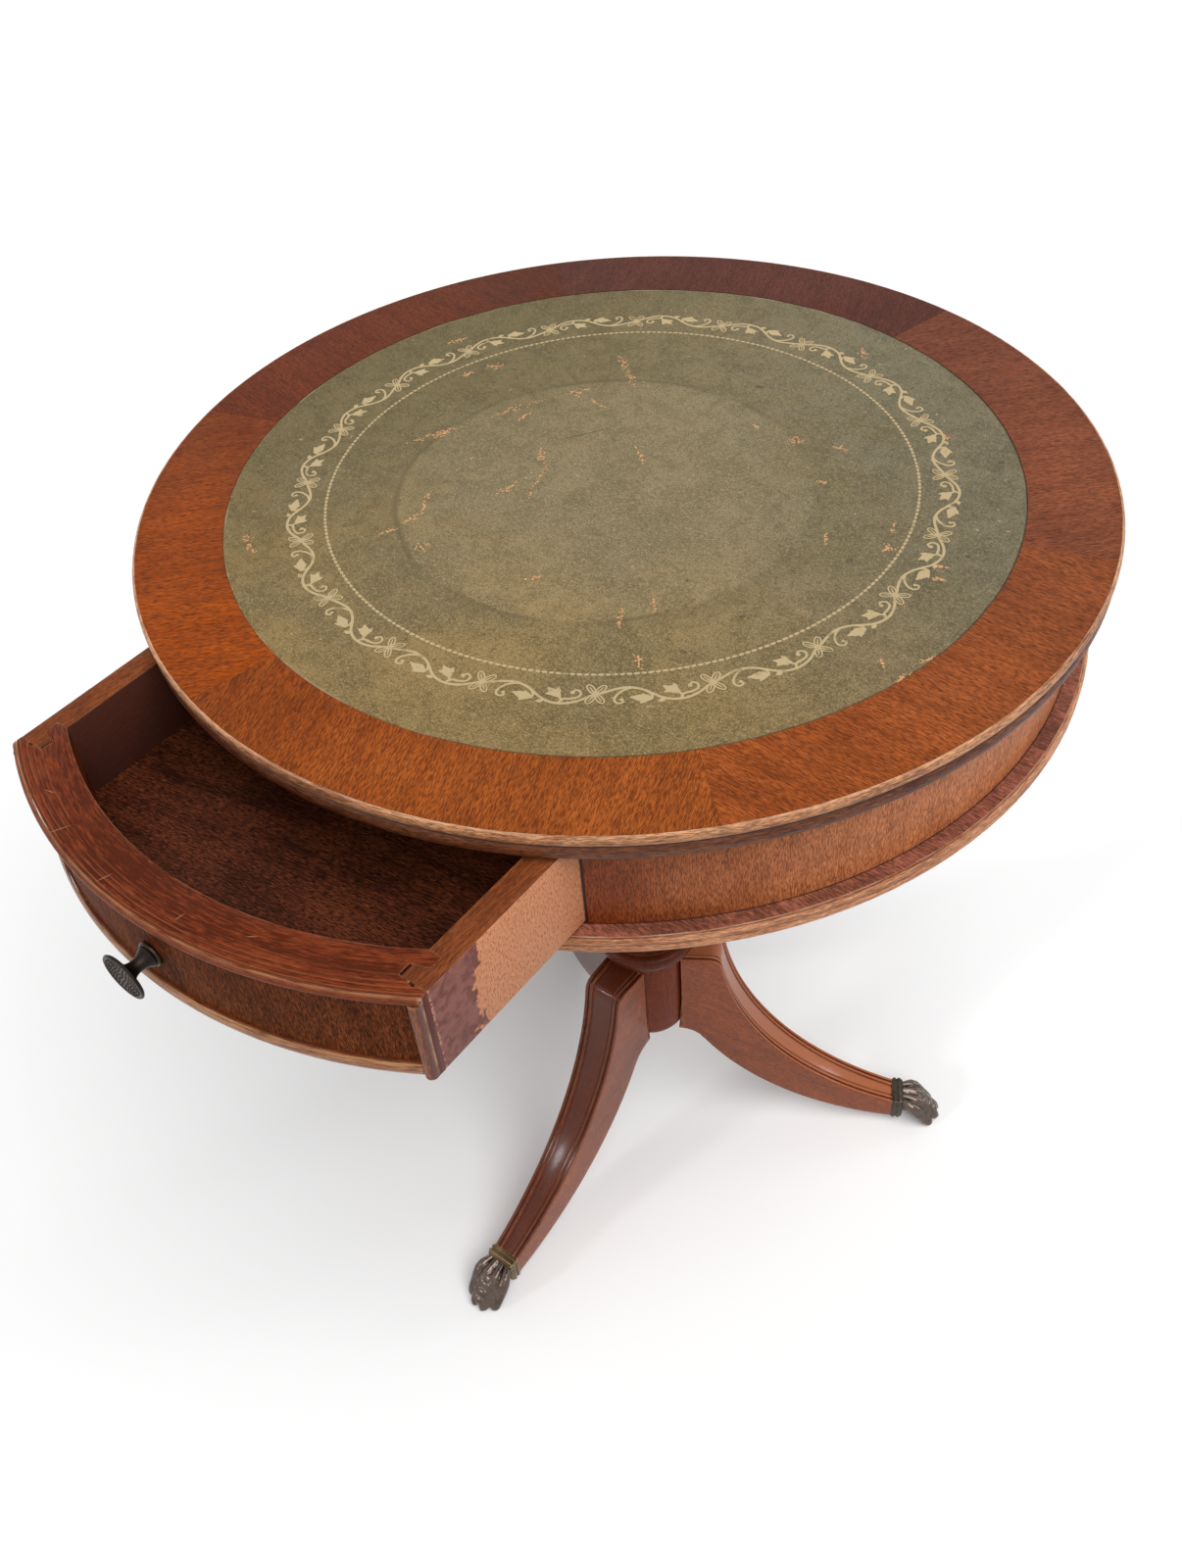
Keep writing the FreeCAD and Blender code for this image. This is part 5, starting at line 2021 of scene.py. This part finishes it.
    def build(self) -> None:
        """Make the collar and the paw."""
        swing = Matrix.Rotation(math.radians(self.turn), 3, "Z")
        collar = MESHER.loft([self.collar_ring(along, proud) for along, proud in self.collar])
        bmesh.ops.rotate(collar, verts=collar.verts, matrix=swing)
        MESHER.piece(collar, f"cap_collar_{self.name}", "table", self.band)
        paw = self.paw()
        bmesh.ops.rotate(paw, verts=paw.verts, matrix=swing)
        MESHER.piece(paw, f"cap_paw_{self.name}", "table", self.metal, (f"paw_cap_{self.name}",))


@dataclass(frozen=True)
class Lamp:
    """A far lamp.

    Args:
        name: Its name.
        energy: How strong it is.
        towards: The direction it stands in.
        spread: How wide it looks, in degrees.
        distance: How far off it hangs, in metres.
    """

    name: str
    energy: float
    towards: tuple[float, float, float]
    spread: float
    distance: float = 4.0

    def hang(self) -> None:
        """Put the lamp in the scene."""
        light = bpy.data.lights.new(self.name, "SUN")
        light.energy = self.energy
        light.angle = math.radians(self.spread)
        thing = placed(self.name, light)
        thing.location = Vector(self.towards) * self.distance
        thing.rotation_euler = Vector(self.towards).to_track_quat("Z", "Y").to_euler()


@dataclass
class Studio(SubAssembly):
    """A plain pale floor, soft lamps and the camera."""

    camera_place: tuple[float, float, float] = (0.47644, -0.59757, 1.22195)
    camera_right: tuple[float, float, float] = (0.792979, 0.605765, -0.065066)
    camera_up: tuple[float, float, float] = (-0.398884, 0.59693, 0.696107)
    lens: float = 32.71
    sensor: float = 36.0
    floor_size: float = 14.0
    floor_grey: Colour = (0.60, 0.60, 0.60)
    floor_glow: float = 0.02
    ambient: float = 0.35
    lamps: tuple[Lamp, ...] = (
        Lamp("soft daylight", 2.25, (0.48, -0.15, 0.86), 50.0),
        Lamp("left window", 0.45, (-0.369, -0.828, 0.423), 7.0),
        Lamp("far window", 0.25, (0.52, 0.80, 0.26), 10.0))

    def floor(self) -> None:
        """Make the floor, which looks white where no shadow falls."""
        shape = bmesh.new()
        bmesh.ops.create_grid(shape, x_segments=1, y_segments=1, size=self.floor_size)
        plate = placed("floor", meshed(shape, "floor"))
        material = bpy.data.materials.new("pale floor")
        material.use_nodes = True
        graph = Graph(material.node_tree)
        graph.tree.nodes.clear()
        plain = graph.add("BsdfDiffuse", {"Color": self.floor_grey})
        white = graph.add("BsdfDiffuse", {"Color": WHITE})
        glow = graph.add("Emission", {"Color": WHITE, "Strength": self.floor_glow})
        bright = graph.add("AddShader", {0: white, 1: glow})
        mixed = graph.add("MixShader", {0: graph.seen(), 1: plain, 2: bright})
        graph.node("OutputMaterial", {"Surface": mixed})
        plate.data.materials.append(material)

    def sky(self) -> None:
        """Light everything softly from all round."""
        world = bpy.data.worlds.new("soft room")
        bpy.context.scene.world = world
        world.use_nodes = True
        graph = Graph(world.node_tree)
        graph.tree.nodes.clear()
        soft = graph.add("Background", {"Color": WHITE, "Strength": self.ambient})
        white = graph.add("Background", {"Color": WHITE, "Strength": 1.0})
        mixed = graph.add("MixShader", {0: graph.seen(), 1: soft, 2: white})
        graph.node("OutputWorld", {"Surface": mixed})

    def build(self) -> None:
        """Make the floor, the light and the camera."""
        self.floor()
        self.sky()
        for lamp in self.lamps:
            lamp.hang()
        lens = bpy.data.cameras.new("camera")
        lens.lens = self.lens
        lens.sensor_width = self.sensor
        camera = placed("camera", lens)
        right, up = Vector(self.camera_right), Vector(self.camera_up)
        turn = Matrix((right, up, right.cross(up))).transposed()
        camera.matrix_world = Matrix.Translation(self.camera_place) @ turn.to_4x4()
        bpy.context.scene.camera = camera
        bpy.context.scene.view_settings.view_transform = "Standard"


def main() -> None:
    """Build the studio and the table in order, and note the sizes."""
    logging.basicConfig(level=logging.INFO, format="%(message)s")
    cap_metal = AgedMetal("aged cap brass", body=(0.130, 0.096, 0.078), high=(0.74, 0.62, 0.52),
                          low=(0.006, 0.004, 0.004), rough=0.22, reach=0.0036, rub=0.9).build()
    golden = AgedMetal("collar brass", body=(0.200, 0.132, 0.066), high=(0.70, 0.50, 0.26),
                       low=(0.012, 0.009, 0.006), rough=0.30, reach=0.0010, rub=0.9).build()
    dark = AgedMetal("dark collar brass", body=(0.072, 0.056, 0.042), high=(0.46, 0.38, 0.27),
                     low=(0.006, 0.005, 0.004), rough=0.26, reach=0.0009, rub=0.9).build()
    # Painted light and shade: the upper faces of the front and left legs are painted shaded and the right
    # leg's lit, and the left leg's sides are painted darker as shade.
    shaded, lit = (0.060, 0.013, 0.007), (0.460, 0.138, 0.050)
    red, brown = (0.420, 0.090, 0.018), (0.170, 0.038, 0.012)
    legs = (("front", -90.0, shaded, red, golden), ("right", 30.0, lit, red, dark),
            ("left", 150.0, shaded, brown, dark))
    groups: list[SubAssembly] = [Studio(), TableTop(), LeatherWear(), TooledBorder(), Drum(), Drawer(),
                                 Knob(), Pedestal()]
    groups += [Leg(name, turn, upper, side) for name, turn, upper, side, _ in legs]
    groups += [PawCap(name, turn, cap_metal, band) for name, turn, _, _, band in legs]
    for group in groups:
        LOG.info("building %s", type(group).__name__)
        group.build()


if __name__ == "__main__":
    main()
